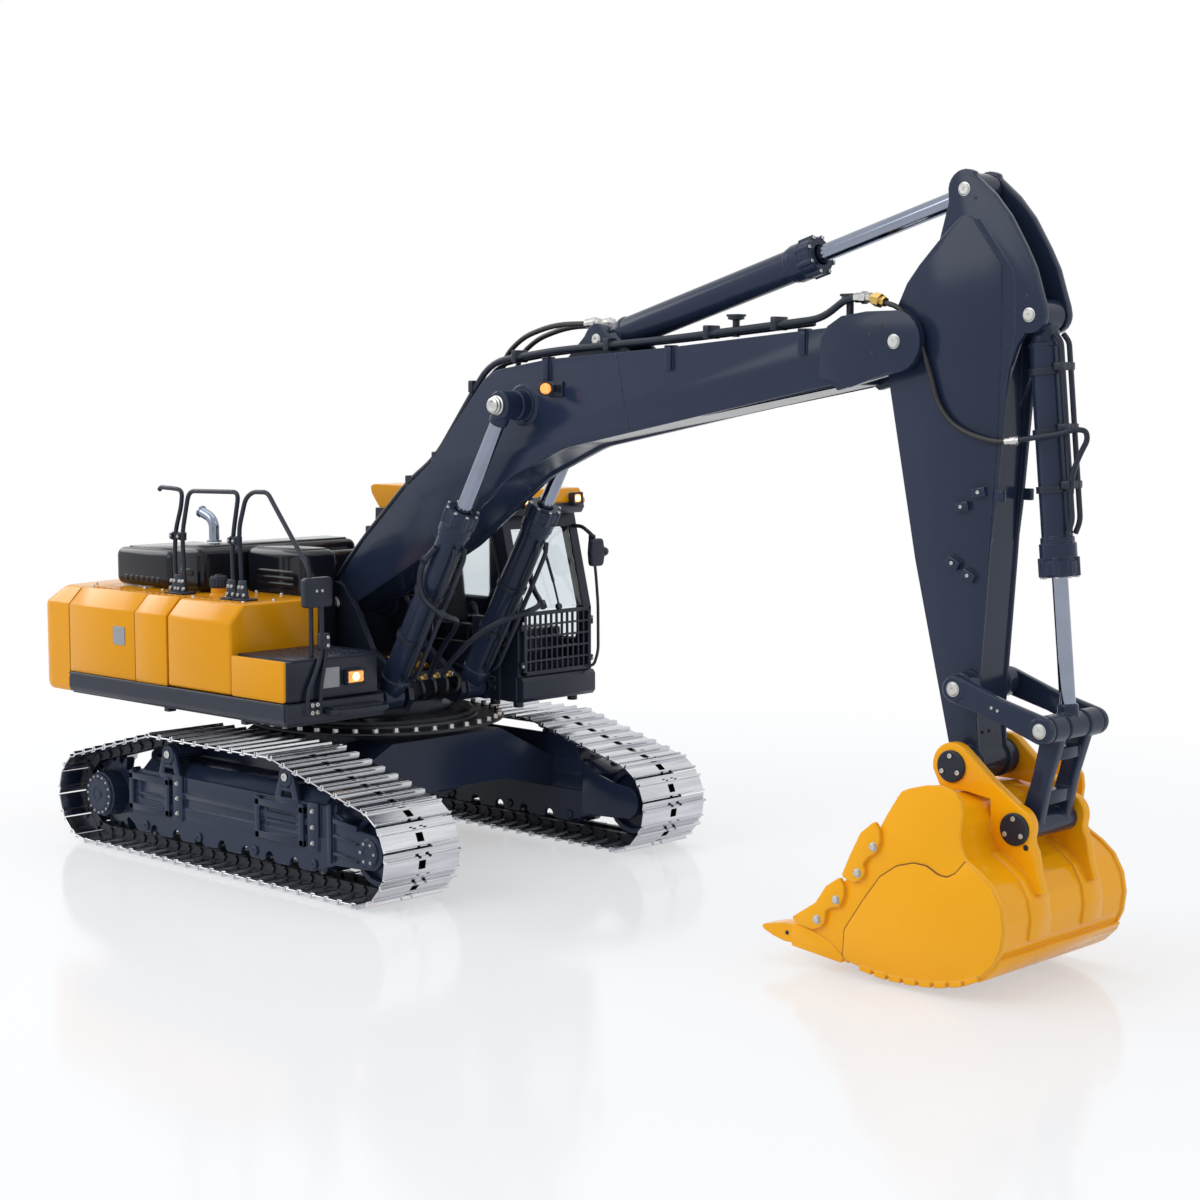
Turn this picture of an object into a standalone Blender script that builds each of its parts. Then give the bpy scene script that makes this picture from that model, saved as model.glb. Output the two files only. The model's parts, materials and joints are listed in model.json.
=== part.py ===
# Radio-controlled hydraulic excavator on crawler tracks.
# Lengths below are millimetres. X is forward, Y is left, Z is up, and every place is given from
# the swing axis at ground level. The finished model is moved so that its box stands on the origin.
import math

import bmesh
import bpy
from mathutils import Matrix, Vector

for old in list(bpy.data.objects):
    bpy.data.objects.remove(old, do_unlink=True)

mm = 0.001
fit_gap = 0.3  # between neighbours that touch on the real machine

# Crawler tracks
track_centre = 108.0  # from the swing axis to the middle of each track
shoe_width = 58.0
shoe_count = 56
shoe_plate = 1.6
shoe_bar = 1.4  # height of the two bars on each shoe
rail_height = 6.0
rail_inner = 4.2  # half of the channel that the sprocket teeth run in
rail_outer = 10.0
wheel_x = 137.0
wheel_radius = 22.0
wheel_gap = 0.8
carrier_x = 60.0
carrier_radius = 5.0
carrier_top = 73.0  # underside of the upper run over the carrier rollers
roller_radius = 6.5
roller_half = 11.0
roller_count = 4
roller_reach = 86.0  # first to middle bottom roller
sprocket_teeth = 17
tooth_height = 4.4
chain_depth = rail_height + shoe_plate + shoe_bar
wheel_z = wheel_radius + chain_depth

# Track frames and car body
frame_half = 14.0
frame_low = 24.0
frame_top = 56.0
guard_low = 12.0
guard_wall = 3.0
hub_radius = 15.0
body_top = 84.0
slew_radius = 64.0
slew_height = 7.0

# Revolving upper structure
deck_low = 97.0
deck_top = 111.0
deck_front = 66.0
deck_nose = 36.0
deck_rear = -163.0
tail_side = -196.0
tail_bulge = 18.0
panel_half = 128.0
skirt_in = 2.0  # from the body panels in to the side of the deck
deck_half = panel_half - skirt_in
shoulder_z = 156.0
shoulder_in = 11.0
roof_z = 167.0
skin = 3.0
door_seam = -53.0
tank_front = 13.0
tank_inner = -58.0
step_top = 137.0
cover_half = 59.0
hood_rear = -110.0
hood_front = -30.0
hood_top = 197.0
rail_y = -104.0
rail_top = 234.0
rail_radius = 1.9

# Cab
cab_rear = -62.0
cab_front = 82.0
cab_outer = 118.0
cab_floor = 95.0
cab_sill = 153.0
cab_top = 217.0
cab_wall = 4.0
roof_thick = 15.0

# Pivots of the boom, stick and bucket, as X and Z
boom_foot = (-12.0, 159.0)
boom_rod_pin = (160.0, 289.0)
boom_base_pin = (52.0, 105.0)
stick_base_pin = (213.0, 327.0)
stick_rod_pin = (468.0, 398.0)
stick_pin = (432.0, 323.0)
bucket_base_pin = (507.0, 335.0)
rocker_pin = (475.0, 149.0)
rod_end_pin = (526.0, 133.0)
bucket_pin = (475.0, 110.0)
link_pin = (513.0, 83.0)

# Widths across the arm, as half widths
boom_half = 20.0
fork_inner = 15.2
stick_half = 13.5
ear_inner = 20.6
ear_outer = 26.6
arm_inner = 22.0
arm_outer = 26.0
link_inner = 9.0
link_outer = 15.0
knuckle_half = 8.0
cylinder_offset = 15.0  # from the side of the boom to the middle of each boom cylinder
cylinder_y = boom_half + cylinder_offset
cylinder_bay = 15.0  # from the middle of a boom cylinder out to the inner wall of the cab
cab_inner = cylinder_y + cylinder_bay
bucket_half = 56.0
bucket_wall = 3.0
tooth_count = 5
tooth_width = 12.0

# Cylinders: barrel radius, rod radius, barrel length from base pin to gland, reach of the bore below it
boom_cylinder = dict(barrel=8.8, rod=4.6, length=140.0, bore=100.0)
stick_cylinder = dict(barrel=9.0, rod=4.8, length=161.0, bore=118.0)
bucket_cylinder = dict(barrel=7.8, rod=4.0, length=129.0, bore=90.0)
rod_tail = 62.0  # length of rod inside the barrel at rest

parts = bpy.data.collections.new("rc_excavator")
cutters = bpy.data.collections.new("cutters")
bpy.context.scene.collection.children.link(parts)
bpy.context.scene.collection.children.link(cutters)
cutters.hide_render = True


def surface(name, colour, roughness, metallic=0.0):
    """A plain Principled material from a linear colour."""
    made = bpy.data.materials.new(name)
    made.use_nodes = True
    shader = made.node_tree.nodes["Principled BSDF"]
    shader.inputs["Base Color"].default_value = (*colour, 1.0)
    shader.inputs["Roughness"].default_value = roughness
    shader.inputs["Metallic"].default_value = metallic
    return made


amber_paint = surface("amber_paint", (0.74, 0.33, 0.02), 0.28)
bucket_paint = surface("bucket_paint", (0.88, 0.40, 0.01), 0.35)
navy_paint = surface("navy_paint", (0.025, 0.032, 0.058), 0.32)
black_paint = surface("black_paint", (0.012, 0.012, 0.014), 0.35)
gloss_black = surface("gloss_black", (0.008, 0.008, 0.010), 0.06)
polished_steel = surface("polished_steel", (0.62, 0.62, 0.64), 0.18, 1.0)
chrome = surface("chrome", (0.78, 0.79, 0.81), 0.08, 1.0)
cast_iron = surface("cast_iron", (0.04, 0.04, 0.045), 0.5, 0.6)
clear_glass = surface("clear_glass", (0.35, 0.40, 0.42), 0.03)
seat_foam = surface("seat_foam", (0.03, 0.03, 0.033), 0.7)
lamp_lens = surface("lamp_lens", (0.95, 0.72, 0.42), 0.15)
brass = surface("brass", (0.62, 0.42, 0.16), 0.3, 1.0)
motor_can = surface("motor_can", (0.30, 0.31, 0.33), 0.35, 1.0)
battery_wrap = surface("battery_wrap", (0.02, 0.05, 0.16), 0.4)

# Which way each flat outline is stood up: columns are where its u, v and depth axes go
stand = {
    "XY": Matrix(((1, 0, 0), (0, 1, 0), (0, 0, 1))).to_4x4(),
    "XZ": Matrix(((1, 0, 0), (0, 0, -1), (0, 1, 0))).to_4x4(),
    "YZ": Matrix(((0, 0, 1), (1, 0, 0), (0, 1, 0))).to_4x4(),
}


def place_mesh(name, mesh):
    made = bpy.data.objects.new(name, mesh)
    parts.objects.link(made)
    return made


def from_bmesh(name, bm):
    bmesh.ops.scale(bm, vec=(mm, mm, mm), verts=bm.verts)
    mesh = bpy.data.meshes.new(name)
    bm.to_mesh(mesh)
    bm.free()
    return place_mesh(name, mesh)


def box(name, low, high, bevel=0.0, segments=1):
    """A block between two corners, with its edges broken by bevel."""
    size = Vector(high) - Vector(low)
    bm = bmesh.new()
    bmesh.ops.create_cube(bm, size=1.0)
    bmesh.ops.scale(bm, vec=size, verts=bm.verts)
    bmesh.ops.translate(bm, vec=Vector(low) + size / 2, verts=bm.verts)
    made = from_bmesh(name, bm)
    if bevel:
        edge = made.modifiers.new("edges", "BEVEL")
        edge.width = bevel * mm
        edge.segments = segments
        edge.limit_method = "ANGLE"
    return made


def drum(name, start, end, radius, sides=16, end_radius=None):
    """A cylinder or cone from one centre to another."""
    start = Vector(start)
    run = Vector(end) - start
    bm = bmesh.new()
    top = radius if end_radius is None else end_radius
    bmesh.ops.create_cone(bm, cap_ends=True, segments=sides, radius1=radius, radius2=top, depth=run.length)
    turn = run.to_track_quat("Z", "Y").to_matrix().to_4x4()
    bmesh.ops.transform(bm, matrix=Matrix.Translation(start + run / 2) @ turn, verts=bm.verts)
    return from_bmesh(name, bm)


def cross_drum(name, pin, half, radius, sides=12, middle=0.0):
    """A drum across the machine, on a pivot given as X and Z."""
    return drum(name, (pin[0], middle - half, pin[1]), (pin[0], middle + half, pin[1]), radius, sides)


def circle(centre, radius, sides=12):
    turn = 2 * math.pi / sides
    return [(centre[0] + radius * math.cos(n * turn), centre[1] + radius * math.sin(n * turn))
            for n in range(sides)]


def arc(centre, radius, first, last, steps):
    """Points on an arc between two angles in degrees."""
    angles = [math.radians(first + (last - first) * n / steps) for n in range(steps + 1)]
    return [(centre[0] + radius * math.cos(a), centre[1] + radius * math.sin(a)) for a in angles]


def rounded(points, radius, steps=3, closed=True):
    """The points with each corner replaced by an arc as large as its sides allow, up to radius."""
    count = len(points)
    made = []
    for n, here in enumerate(points):
        here = Vector(here)
        if not closed and n in (0, count - 1):
            made.append(here)
            continue
        back = Vector(points[n - 1]) - here
        ahead = Vector(points[(n + 1) % count]) - here
        half_angle = back.angle(ahead) / 2
        reach = min(radius / math.tan(half_angle), 0.45 * back.length, 0.45 * ahead.length)
        first = here + back.normalized() * reach
        last = here + ahead.normalized() * reach
        for k in range(steps + 1):
            t = k / steps
            made.append((1 - t) ** 2 * first + 2 * t * (1 - t) * here + t ** 2 * last)
    return [tuple(p) for p in made]


def thickened(path, wall):
    """A closed band from an open path and the same path moved wall to its left."""
    moved = []
    for n, here in enumerate(path):
        before = Vector(path[max(n - 1, 0)])
        after = Vector(path[min(n + 1, len(path) - 1)])
        along = (after - before).normalized()
        moved.append((here[0] - along.y * wall, here[1] + along.x * wall))
    return list(path) + moved[::-1]


def curve_mesh(curve, name):
    """The mesh of a curve, welded so that Booleans find it closed."""
    holder = bpy.data.objects.new(name, curve)
    bpy.context.scene.collection.objects.link(holder)
    bpy.context.view_layer.update()
    mesh = bpy.data.meshes.new_from_object(holder)
    bpy.data.objects.remove(holder, do_unlink=True)
    bm = bmesh.new()
    bm.from_mesh(mesh)
    bpy.data.meshes.remove(mesh)
    bmesh.ops.remove_doubles(bm, verts=bm.verts, dist=1e-3)
    bmesh.ops.recalc_face_normals(bm, faces=bm.faces)
    return bm


def plate(name, outline, low, high, plane="XZ", holes=()):
    """A flat outline with holes, given thickness between low and high across its plane."""
    curve = bpy.data.curves.new(name, "CURVE")
    curve.dimensions = "2D"
    curve.fill_mode = "BOTH"
    curve.extrude = (high - low) / 2
    for ring in (outline, *holes):
        spline = curve.splines.new("POLY")
        spline.points.add(len(ring) - 1)
        for point, at in zip(spline.points, ring):
            point.co = (at[0], at[1], 0.0, 1.0)
        spline.use_cyclic_u = True
    bm = curve_mesh(curve, name)
    if holes:
        bmesh.ops.dissolve_limit(bm, angle_limit=math.radians(0.5), verts=bm.verts, edges=bm.edges)
    else:
        for end in (-1, 1):
            cap = [face for face in bm.faces if all(end * v.co.z > 0 for v in face.verts)]
            bmesh.ops.dissolve_faces(bm, faces=cap)
    middle = (low + high) / 2
    side = -middle if plane == "XZ" else middle
    bmesh.ops.transform(bm, matrix=stand[plane] @ Matrix.Translation((0, 0, side)), verts=bm.verts)
    return from_bmesh(name, bm)


def tube(name, points, radius, bend=0.0, fineness=1):
    """A round bar along points, its corners bent to a radius."""
    path = rounded(points, bend, 3, closed=False) if bend else points
    curve = bpy.data.curves.new(name, "CURVE")
    curve.dimensions = "3D"
    curve.bevel_depth = radius
    curve.bevel_resolution = fineness
    curve.use_fill_caps = True
    spline = curve.splines.new("POLY")
    spline.points.add(len(path) - 1)
    for point, at in zip(spline.points, path):
        point.co = (*at, 1.0)
    return from_bmesh(name, curve_mesh(curve, name))


def turned(name, profile, place, direction, steps=16):
    """A profile of radius and height, from top to bottom, spun round an axis."""
    bm = bmesh.new()
    row = [bm.verts.new((radius, 0.0, height)) for radius, height in profile]
    for first, second in zip(row, row[1:]):
        bm.edges.new((first, second))
    made = from_bmesh(name, bm)
    spin = made.modifiers.new("spin", "SCREW")
    spin.steps = steps
    spin.render_steps = steps
    spin.use_merge_vertices = True
    spin.merge_threshold = 1e-5
    made.location = Vector(place) * mm
    made.rotation_euler = Vector(direction).to_track_quat("Z", "Y").to_euler()
    return made


def combine(part, operation, tools):
    for tool in tools:
        step = part.modifiers.new(operation.lower(), "BOOLEAN")
        step.operation = operation
        step.solver = "EXACT"
        step.object = tool
        parts.objects.unlink(tool)
        cutters.objects.link(tool)
        tool.hide_render = True
        tool.display_type = "WIRE"


def fuse(part, *tools):
    combine(part, "UNION", tools)


def carve(part, *tools):
    combine(part, "DIFFERENCE", tools)


joint_place = {}


def joint(name, parent, place):
    """An empty on a joint's axis, which carries the pieces that move with it."""
    made = bpy.data.objects.new(name, None)
    made.empty_display_size = 20 * mm
    parts.objects.link(made)
    made.location = Vector(place) * mm
    joint_place[name] = Vector(place) * mm
    if parent:
        made.parent = parent
        made.matrix_parent_inverse = Matrix.Translation(-joint_place[parent.name])
    return made


def finish(part, carrier, paint=None):
    """Hangs a part and the solids that shape it on a joint, and paints it."""
    part.parent = carrier
    part.matrix_parent_inverse = Matrix.Translation(-joint_place[carrier.name])
    if paint:
        part.data.materials.append(paint)
    for step in part.modifiers:
        if step.type == "BOOLEAN":
            finish(step.object, carrier)


def at_pin(pin, y=0.0):
    return (pin[0], y, pin[1])


machine = joint("machine", None, (0, 0, 0))
upper = joint("upper_swing", machine, (0, 0, deck_low))
boom_joint = joint("boom_lift", upper, at_pin(boom_foot))
stick_joint = joint("stick_swing", boom_joint, at_pin(stick_pin))
bucket_joint = joint("bucket_curl", stick_joint, at_pin(bucket_pin))


# Crawler tracks
carrier_z = carrier_top - wheel_gap - carrier_radius


def belt_runs():
    """The line and arc runs of a taut belt on the wheels, in order round the loop."""
    wheels = [((wheel_x, wheel_z), wheel_radius), ((carrier_x, carrier_z), carrier_top - carrier_z),
              ((-carrier_x, carrier_z), carrier_top - carrier_z), ((-wheel_x, wheel_z), wheel_radius)]
    normals = []
    for (a, a_radius), (b, b_radius) in zip(wheels, wheels[1:] + wheels[:1]):
        run = Vector(b) - Vector(a)
        along = run.normalized()
        lean = (a_radius - b_radius) / run.length
        normals.append(lean * along + math.sqrt(1 - lean ** 2) * Vector((along.y, -along.x)))
    runs = []
    for n, (centre, radius) in enumerate(wheels):
        first = math.atan2(normals[n - 1].y, normals[n - 1].x)
        turn = (math.atan2(normals[n].y, normals[n].x) - first) % (2 * math.pi)
        runs.append(("arc", Vector(centre), radius, first, turn, radius * turn))
        after, after_radius = wheels[(n + 1) % len(wheels)]
        start = Vector(centre) + normals[n] * radius
        end = Vector(after) + normals[n] * after_radius
        runs.append(("line", start, end, normals[n], 0.0, (end - start).length))
    return runs


belt = belt_runs()
belt_length = sum(run[-1] for run in belt)


def belt_point(distance, height):
    """The point at a distance along the belt, raised by height outwards."""
    distance %= belt_length
    for kind, a, b, c, turn, length in belt:
        if distance <= length:
            break
        distance -= length
    if kind == "line":
        return tuple(a.lerp(b, distance / length) + c * height)
    angle = c + turn * distance / length
    return tuple(a + Vector((math.cos(angle), math.sin(angle))) * (b + height))


def belt_ring(height):
    """A plain loop at a height: the ends of its straight runs, and points round its wheels."""
    ring = []
    start = 0.0
    for kind, a, b, c, turn, length in belt:
        if kind == "arc":
            count = max(1, round(turn / math.radians(19)))
            ring += [belt_point(start + length * n / count, height) for n in range(count + 1)]
        start += length
    return ring


def make_chain(name, middle):
    """One endless chain: shoes with two bars each, on a pair of link rails."""
    plate_top = rail_height + shoe_plate
    slit = rail_height + 0.5 * shoe_plate
    tread = ((0.0, slit), (0.04, chain_depth), (0.16, chain_depth), (0.2, plate_top), (0.8, plate_top),
             (0.96, chain_depth))
    pitch = belt_length / shoe_count
    outer = [belt_point((n + share) * pitch, height) for n in range(shoe_count) for share, height in tread]
    half = shoe_width / 2
    chain = plate(name, outer, middle - half, middle + half)
    carve(chain, plate("between_rails", belt_ring(0.0), middle - half - 1, middle + half + 1))
    carve(chain, plate("tooth_channel", belt_ring(rail_height), middle - rail_inner, middle + rail_inner))
    for side in (-1, 1):
        low, high = sorted((middle + side * rail_outer, middle + side * (half + 1)))
        carve(chain, plate("beside_rail", belt_ring(rail_height), low, high))
    return chain


def make_sprocket(name, middle, side, carrier):
    step = 2 * math.pi / sprocket_teeth
    root = wheel_radius - 2 * wheel_gap
    tip = wheel_radius + tooth_height
    rim = []
    for n in range(sprocket_teeth):
        for share, radius in ((-0.30, root), (-0.12, tip), (0.12, tip), (0.30, root)):
            angle = (n + share) * step
            rim.append((-wheel_x + radius * math.cos(angle), wheel_z + radius * math.sin(angle)))
    sprocket = plate(name, rim, middle - 3.0, middle + 3.0)
    cover = [(0.0, 17.0), (hub_radius - 4, 17.0), (hub_radius, 15.0), (hub_radius, 0.0), (9.0, -6.0), (9.0, -10.0),
             (0.0, -10.0)]
    fuse(sprocket, turned("hub", cover, (-wheel_x, middle, wheel_z), (0, side, 0), 14))
    finish(sprocket, carrier, navy_paint)


def make_roller(name, pin, middle, radius, half, carrier, paint):
    """A roller whose treads run on the rails, with its axle ends showing."""
    axle = 0.5 * radius
    end = half + 0.7
    profile = [(0.0, end), (axle, end), (radius, half - 1), (radius, 1 - half), (axle, -end), (0.0, -end)]
    finish(turned(name, profile, at_pin(pin, middle), (0, 1, 0), 12), carrier, paint)


def make_idler(name, middle, carrier):
    rim = wheel_radius - wheel_gap
    profile = [(0.0, 11.7), (6.0, 11.7), (8.0, 5.0), (rim - 4, 5.0), (rim - 3, rail_outer - 1),
               (rim, rail_outer - 1), (rim, rail_inner), (rim + 3.0, rail_inner - 1.2)]
    profile += [(radius, -height) for radius, height in profile[::-1]]
    finish(turned(name, profile, (wheel_x, middle, wheel_z), (0, 1, 0), 16), carrier, navy_paint)


def make_track_frame(name, middle, side, spots):
    """The box that carries the wheels: ribbed sides, roller guards, pedestals and the idler yoke."""
    slope = 9.0
    nose = wheel_x - wheel_radius - 3.0
    tail = -(wheel_x - wheel_radius - tooth_height - 6.6)
    profile = [(tail, frame_low), (nose - 4, frame_low), (nose, frame_low + slope), (nose, frame_top - slope),
               (nose - 16, frame_top), (tail + 12, frame_top), (tail, frame_top - slope)]
    frame = plate(name, profile, middle - frame_half, middle + frame_half)
    guard_face = roller_half + 1.0
    for face in (-1, 1):
        low, high = sorted((middle + face * guard_face, middle + face * (guard_face + guard_wall)))
        edge = [(-102, frame_low + 6), (-102, guard_low + 6)]
        for n in range(8):
            start = -96 + n * 24
            edge += [(start, guard_low), (start + 16, guard_low), (start + 20, guard_low + 5)]
        edge += [(104, guard_low + 6), (104, frame_low + 6)]
        fuse(frame, plate("roller_guard", edge, low, high))
        yoke = [(96, wheel_z - 13), (wheel_x, wheel_z - 11)]
        yoke += arc((wheel_x, wheel_z), 11, -60, 60, 4)
        yoke += [(wheel_x, wheel_z + 11), (96, frame_top - 4)]
        fuse(frame, plate("idler_yoke", yoke, low, high))
    for spot in spots:
        foot = [(spot - 15, frame_top - 6), (spot + 15, frame_top - 6), (spot + 7, carrier_z + 4),
                (spot - 7, carrier_z + 4)]
        low, high = sorted((middle + side * guard_face, middle + side * (guard_face + guard_wall)))
        fuse(frame, plate("pedestal", foot, low, high))
    low, high = sorted((middle + side * (frame_half - 0.5), middle + side * (frame_half + 3.0)))
    for rib in (-84, -34, 0, 34, 88):
        fuse(frame, box("rib", (rib - 4, low, frame_low + 7), (rib + 4, high, frame_top - 3)))
    motor_low, motor_high = sorted((middle - side * 10.4, middle - side * 34))
    fuse(frame, drum("travel_motor", (-wheel_x, motor_low, wheel_z), (-wheel_x, motor_high, wheel_z), 12.5, 14))
    beam_low, beam_high = sorted((middle - side * 10.8, middle - side * 16.2))
    beam = [(-wheel_x - 8, wheel_z - 11), (-96, frame_low + 2), (-96, frame_top - 4), (-wheel_x - 8, wheel_z + 11)]
    fuse(frame, plate("motor_mount", beam, beam_low, beam_high))
    finish(frame, machine, navy_paint)


for label, side in (("left", 1), ("right", -1)):
    middle = side * track_centre
    wheel_joint = joint(f"{label}_drive", machine, (-wheel_x, middle, wheel_z))
    make_sprocket(f"{label}_sprocket", middle, side, wheel_joint)
    idler_joint = joint(f"{label}_idler_turn", machine, (wheel_x, middle, wheel_z))
    make_idler(f"{label}_idler", middle, idler_joint)
    for n, spot in enumerate((carrier_x, -carrier_x)):
        turn = joint(f"{label}_carrier_turn_{n + 1}", machine, (spot, middle, carrier_z))
        make_roller(f"{label}_carrier_{n + 1}", (spot, carrier_z), middle, carrier_radius, roller_half, turn, navy_paint)
    roller_z = chain_depth + wheel_gap + roller_radius
    for n in range(roller_count):
        spot = roller_reach * (1 - 2 * n / (roller_count - 1))
        turn = joint(f"{label}_roller_turn_{n + 1}", machine, (spot, middle, roller_z))
        make_roller(f"{label}_roller_{n + 1}", (spot, roller_z), middle, roller_radius, roller_half, turn, navy_paint)
    make_track_frame(f"{label}_track_frame", middle, side, (carrier_x, -carrier_x))
    finish(make_chain(f"{label}_track", middle), machine, polished_steel)


# Car body between the tracks, and the slewing ring on it
def make_car_body():
    inner = track_centre - frame_half - fit_gap
    saddle = [(-inner, 34), (-52, 44), (52, 44), (inner, 34), (inner, 54), (46, body_top - 6), (-46, body_top - 6),
              (-inner, 54)]
    body = drum("car_body", (0, 0, 40), (0, 0, body_top), slew_radius - 4, 20)
    for middle in (-50, 50):
        fuse(body, plate("leg", saddle, middle - 19, middle + 19, "YZ"))
    finish(body, machine, navy_paint)
    low = body_top + fit_gap
    ring = [(slew_radius - 14, low + slew_height), (slew_radius - 3, low + slew_height),
            (slew_radius, low + slew_height - 2), (slew_radius, low), (slew_radius - 14, low)]
    ring.append(ring[0])
    finish(turned("slew_ring", ring, (0, 0, 0), (0, 0, 1), 24), machine, cast_iron)


make_car_body()


# Revolving frame: deck, boom brackets, cylinder ears and the ring that turns in the slewing ring
def make_revolving_frame():
    bay = cab_inner + 1.0
    side = [(deck_rear, deck_half), (deck_front, deck_half), (deck_front, bay), (deck_nose, bay)]
    deck = plate("revolving_frame", [(x, -y) for x, y in side] + side[::-1], deck_low, deck_top, "XY")
    fuse(deck, drum("inner_ring", (0, 0, body_top + 1), (0, 0, deck_low + 2), slew_radius - 14.5, 20))
    bracket = [(-60, deck_top - 4), (30, deck_top - 6), (40, 99), (boom_base_pin[0] + 4, 95)]
    bracket += arc(boom_base_pin, 9, -60, 80, 3)
    bracket += [(24, 132), (8, 158)]
    bracket += arc(boom_foot, 15, 20, 150, 4)
    bracket += [(-46, 128)]
    holes = (circle(boom_foot, 5.3), circle(boom_base_pin, 3.3, 10))
    ear = [(24, deck_top - 4), (30, 98), (boom_base_pin[0] + 4, 96)] + arc(boom_base_pin, 8, -60, 110, 3)
    ear += [(24, deck_top + 6)]
    for face in (-1, 1):
        low, high = sorted((face * (boom_half + 0.4), face * (boom_half + 4.4)))
        fuse(deck, plate("boom_bracket", bracket, low, high, "XZ", holes))
        low, high = sorted((face * (cylinder_y + 10.0), face * (cylinder_y + 14.0)))
        fuse(deck, plate("cylinder_ear", ear, low, high, "XZ", [circle(boom_base_pin, 3.3, 10)]))
    finish(deck, upper, black_paint)


make_revolving_frame()


def panel_section(half, low, inner, wall):
    """Half a body section: side, sloping shoulder and top, as a skin of one thickness."""
    path = [(half, low), (half, shoulder_z), (half - shoulder_in, roof_z), (inner, roof_z)]
    return thickened(path, wall)


def make_body_panels():
    low = deck_top + fit_gap
    tail = [(deck_rear - fit_gap, -panel_half), (deck_rear - fit_gap, panel_half)]
    for n in range(9):
        share = 1 - n / 4
        tail.append((tail_side - tail_bulge * (1 - share ** 2), panel_half * share))
    weight = plate("counterweight", tail, deck_low, roof_z, "XY")
    for face in (-1, 1):
        wedge = [(face * (panel_half + 1), shoulder_z - 1), (face * (panel_half + 1), roof_z + 1),
                 (face * (panel_half - shoulder_in - 1), roof_z + 1)]
        carve(weight, plate("shoulder", wedge, tail_side - tail_bulge - 5, deck_rear + 5, "YZ"))
    finish(weight, upper, amber_paint)

    left = panel_section(panel_half, low, cover_half + fit_gap, skin)
    right = [(-y, z) for y, z in left]
    finish(plate("right_doors", right, deck_rear, door_seam - fit_gap, "YZ"), upper, amber_paint)
    finish(plate("left_door", left, deck_rear, cab_rear - 2 * fit_gap, "YZ"), upper, amber_paint)

    tank = [(-panel_half, low), (-panel_half, shoulder_z), (shoulder_in - panel_half, roof_z), (tank_inner, roof_z),
            (tank_inner, low)]
    tank_part = plate("hydraulic_tank", tank, door_seam, tank_front, "YZ")
    fuse(tank_part, drum("filler_cap", (-40, -92, roof_z - 2), (-40, -92, roof_z + 7), 6.5, 14))
    finish(tank_part, upper, amber_paint)

    cover = box("top_cover", (deck_rear, -cover_half, roof_z - skin), (cab_rear - 2 * fit_gap, cover_half, roof_z))
    for spot in (deck_rear + 8, cab_rear - 12):
        fuse(cover, box("cover_post", (spot - 3, -3, low), (spot + 3, 3, roof_z - skin + 1)))
    finish(cover, upper, amber_paint)

    step = box("step_box", (tank_front + fit_gap, -panel_half, low), (deck_front, -55, step_top), 2.0)
    finish(step, upper, black_paint)
    lamp_at = (deck_front + fit_gap, -66, 128)
    lamp = [(0.0, 5.0), (4.0, 4.0), (5.5, 2.0), (5.5, 0.0), (0.0, 0.0)]
    finish(turned("step_lamp", lamp, lamp_at, (1, 0, 0), 14), upper, lamp_lens)


make_body_panels()


def make_hood():
    seat = roof_z + fit_gap
    hood = box("engine_hood", (hood_rear, -84, seat), (hood_front - 34, 40, hood_top), 5.0)
    fuse(hood, box("hood_nose", (hood_front - 40, -57, seat), (hood_front, 20, hood_top - 9), 4.0))
    fuse(hood, box("cooling_cover", (deck_rear + 1, -92, seat), (hood_rear + 6, -22, hood_top - 8), 5.0))
    finish(hood, upper, gloss_black)
    pipe = [(-96, -58, hood_top + fit_gap), (-96, -58, hood_top + 13), (-106, -60, hood_top + 19)]
    finish(tube("exhaust", pipe, 3.6, 8.0, 2), upper, chrome)


make_hood()


def make_rails_and_mirrors():
    seat = roof_z + fit_gap
    post = [(-76, rail_y, seat), (-72, rail_y, rail_top), (-95, rail_y, rail_top + 2)]
    rear = tube("rear_handrail", post, rail_radius, 8.0)
    loop = [(-72.6, rail_y, rail_top - 8), (-60, rail_y, rail_top), (-16, rail_y, rail_top), (-18, rail_y, seat)]
    fuse(rear, tube("rear_loop", loop, rail_radius, 8.0))
    finish(rear, upper, black_paint)
    front_loop = [(-8, rail_y, seat), (-4, rail_y, rail_top), (17, rail_y, rail_top + 1), (62, rail_y, 178),
                  (62, rail_y, step_top + fit_gap)]
    finish(tube("front_handrail", front_loop, rail_radius, 10.0), upper, black_paint)

    post_x = deck_front + fit_gap + 1.7
    right = drum("right_mirror", (post_x, -100, 103), (post_x, -100, 172), 1.7, 10)
    fuse(right, box("glass_shell", (deck_front - 1.6, -114, 168), (deck_front + 3.6, -93, 186), 1.6))
    finish(right, upper, black_paint)
    arm_z = cab_top - 10
    pillar = cab_front - 16 * (arm_z - cab_sill) / (cab_top - cab_sill)
    arm = [(pillar + 0.8, cab_outer - 5, arm_z), (cab_front + 6, cab_outer + 3, arm_z), (cab_front + 8, cab_outer + 3, 192)]
    left = tube("left_mirror", arm, 1.6, 6.0)
    fuse(left, box("glass_shell", (cab_front + 5, cab_outer - 5, 178), (cab_front + 11, cab_outer + 9, 202), 2.0))
    finish(left, upper, black_paint)


make_rails_and_mirrors()


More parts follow.
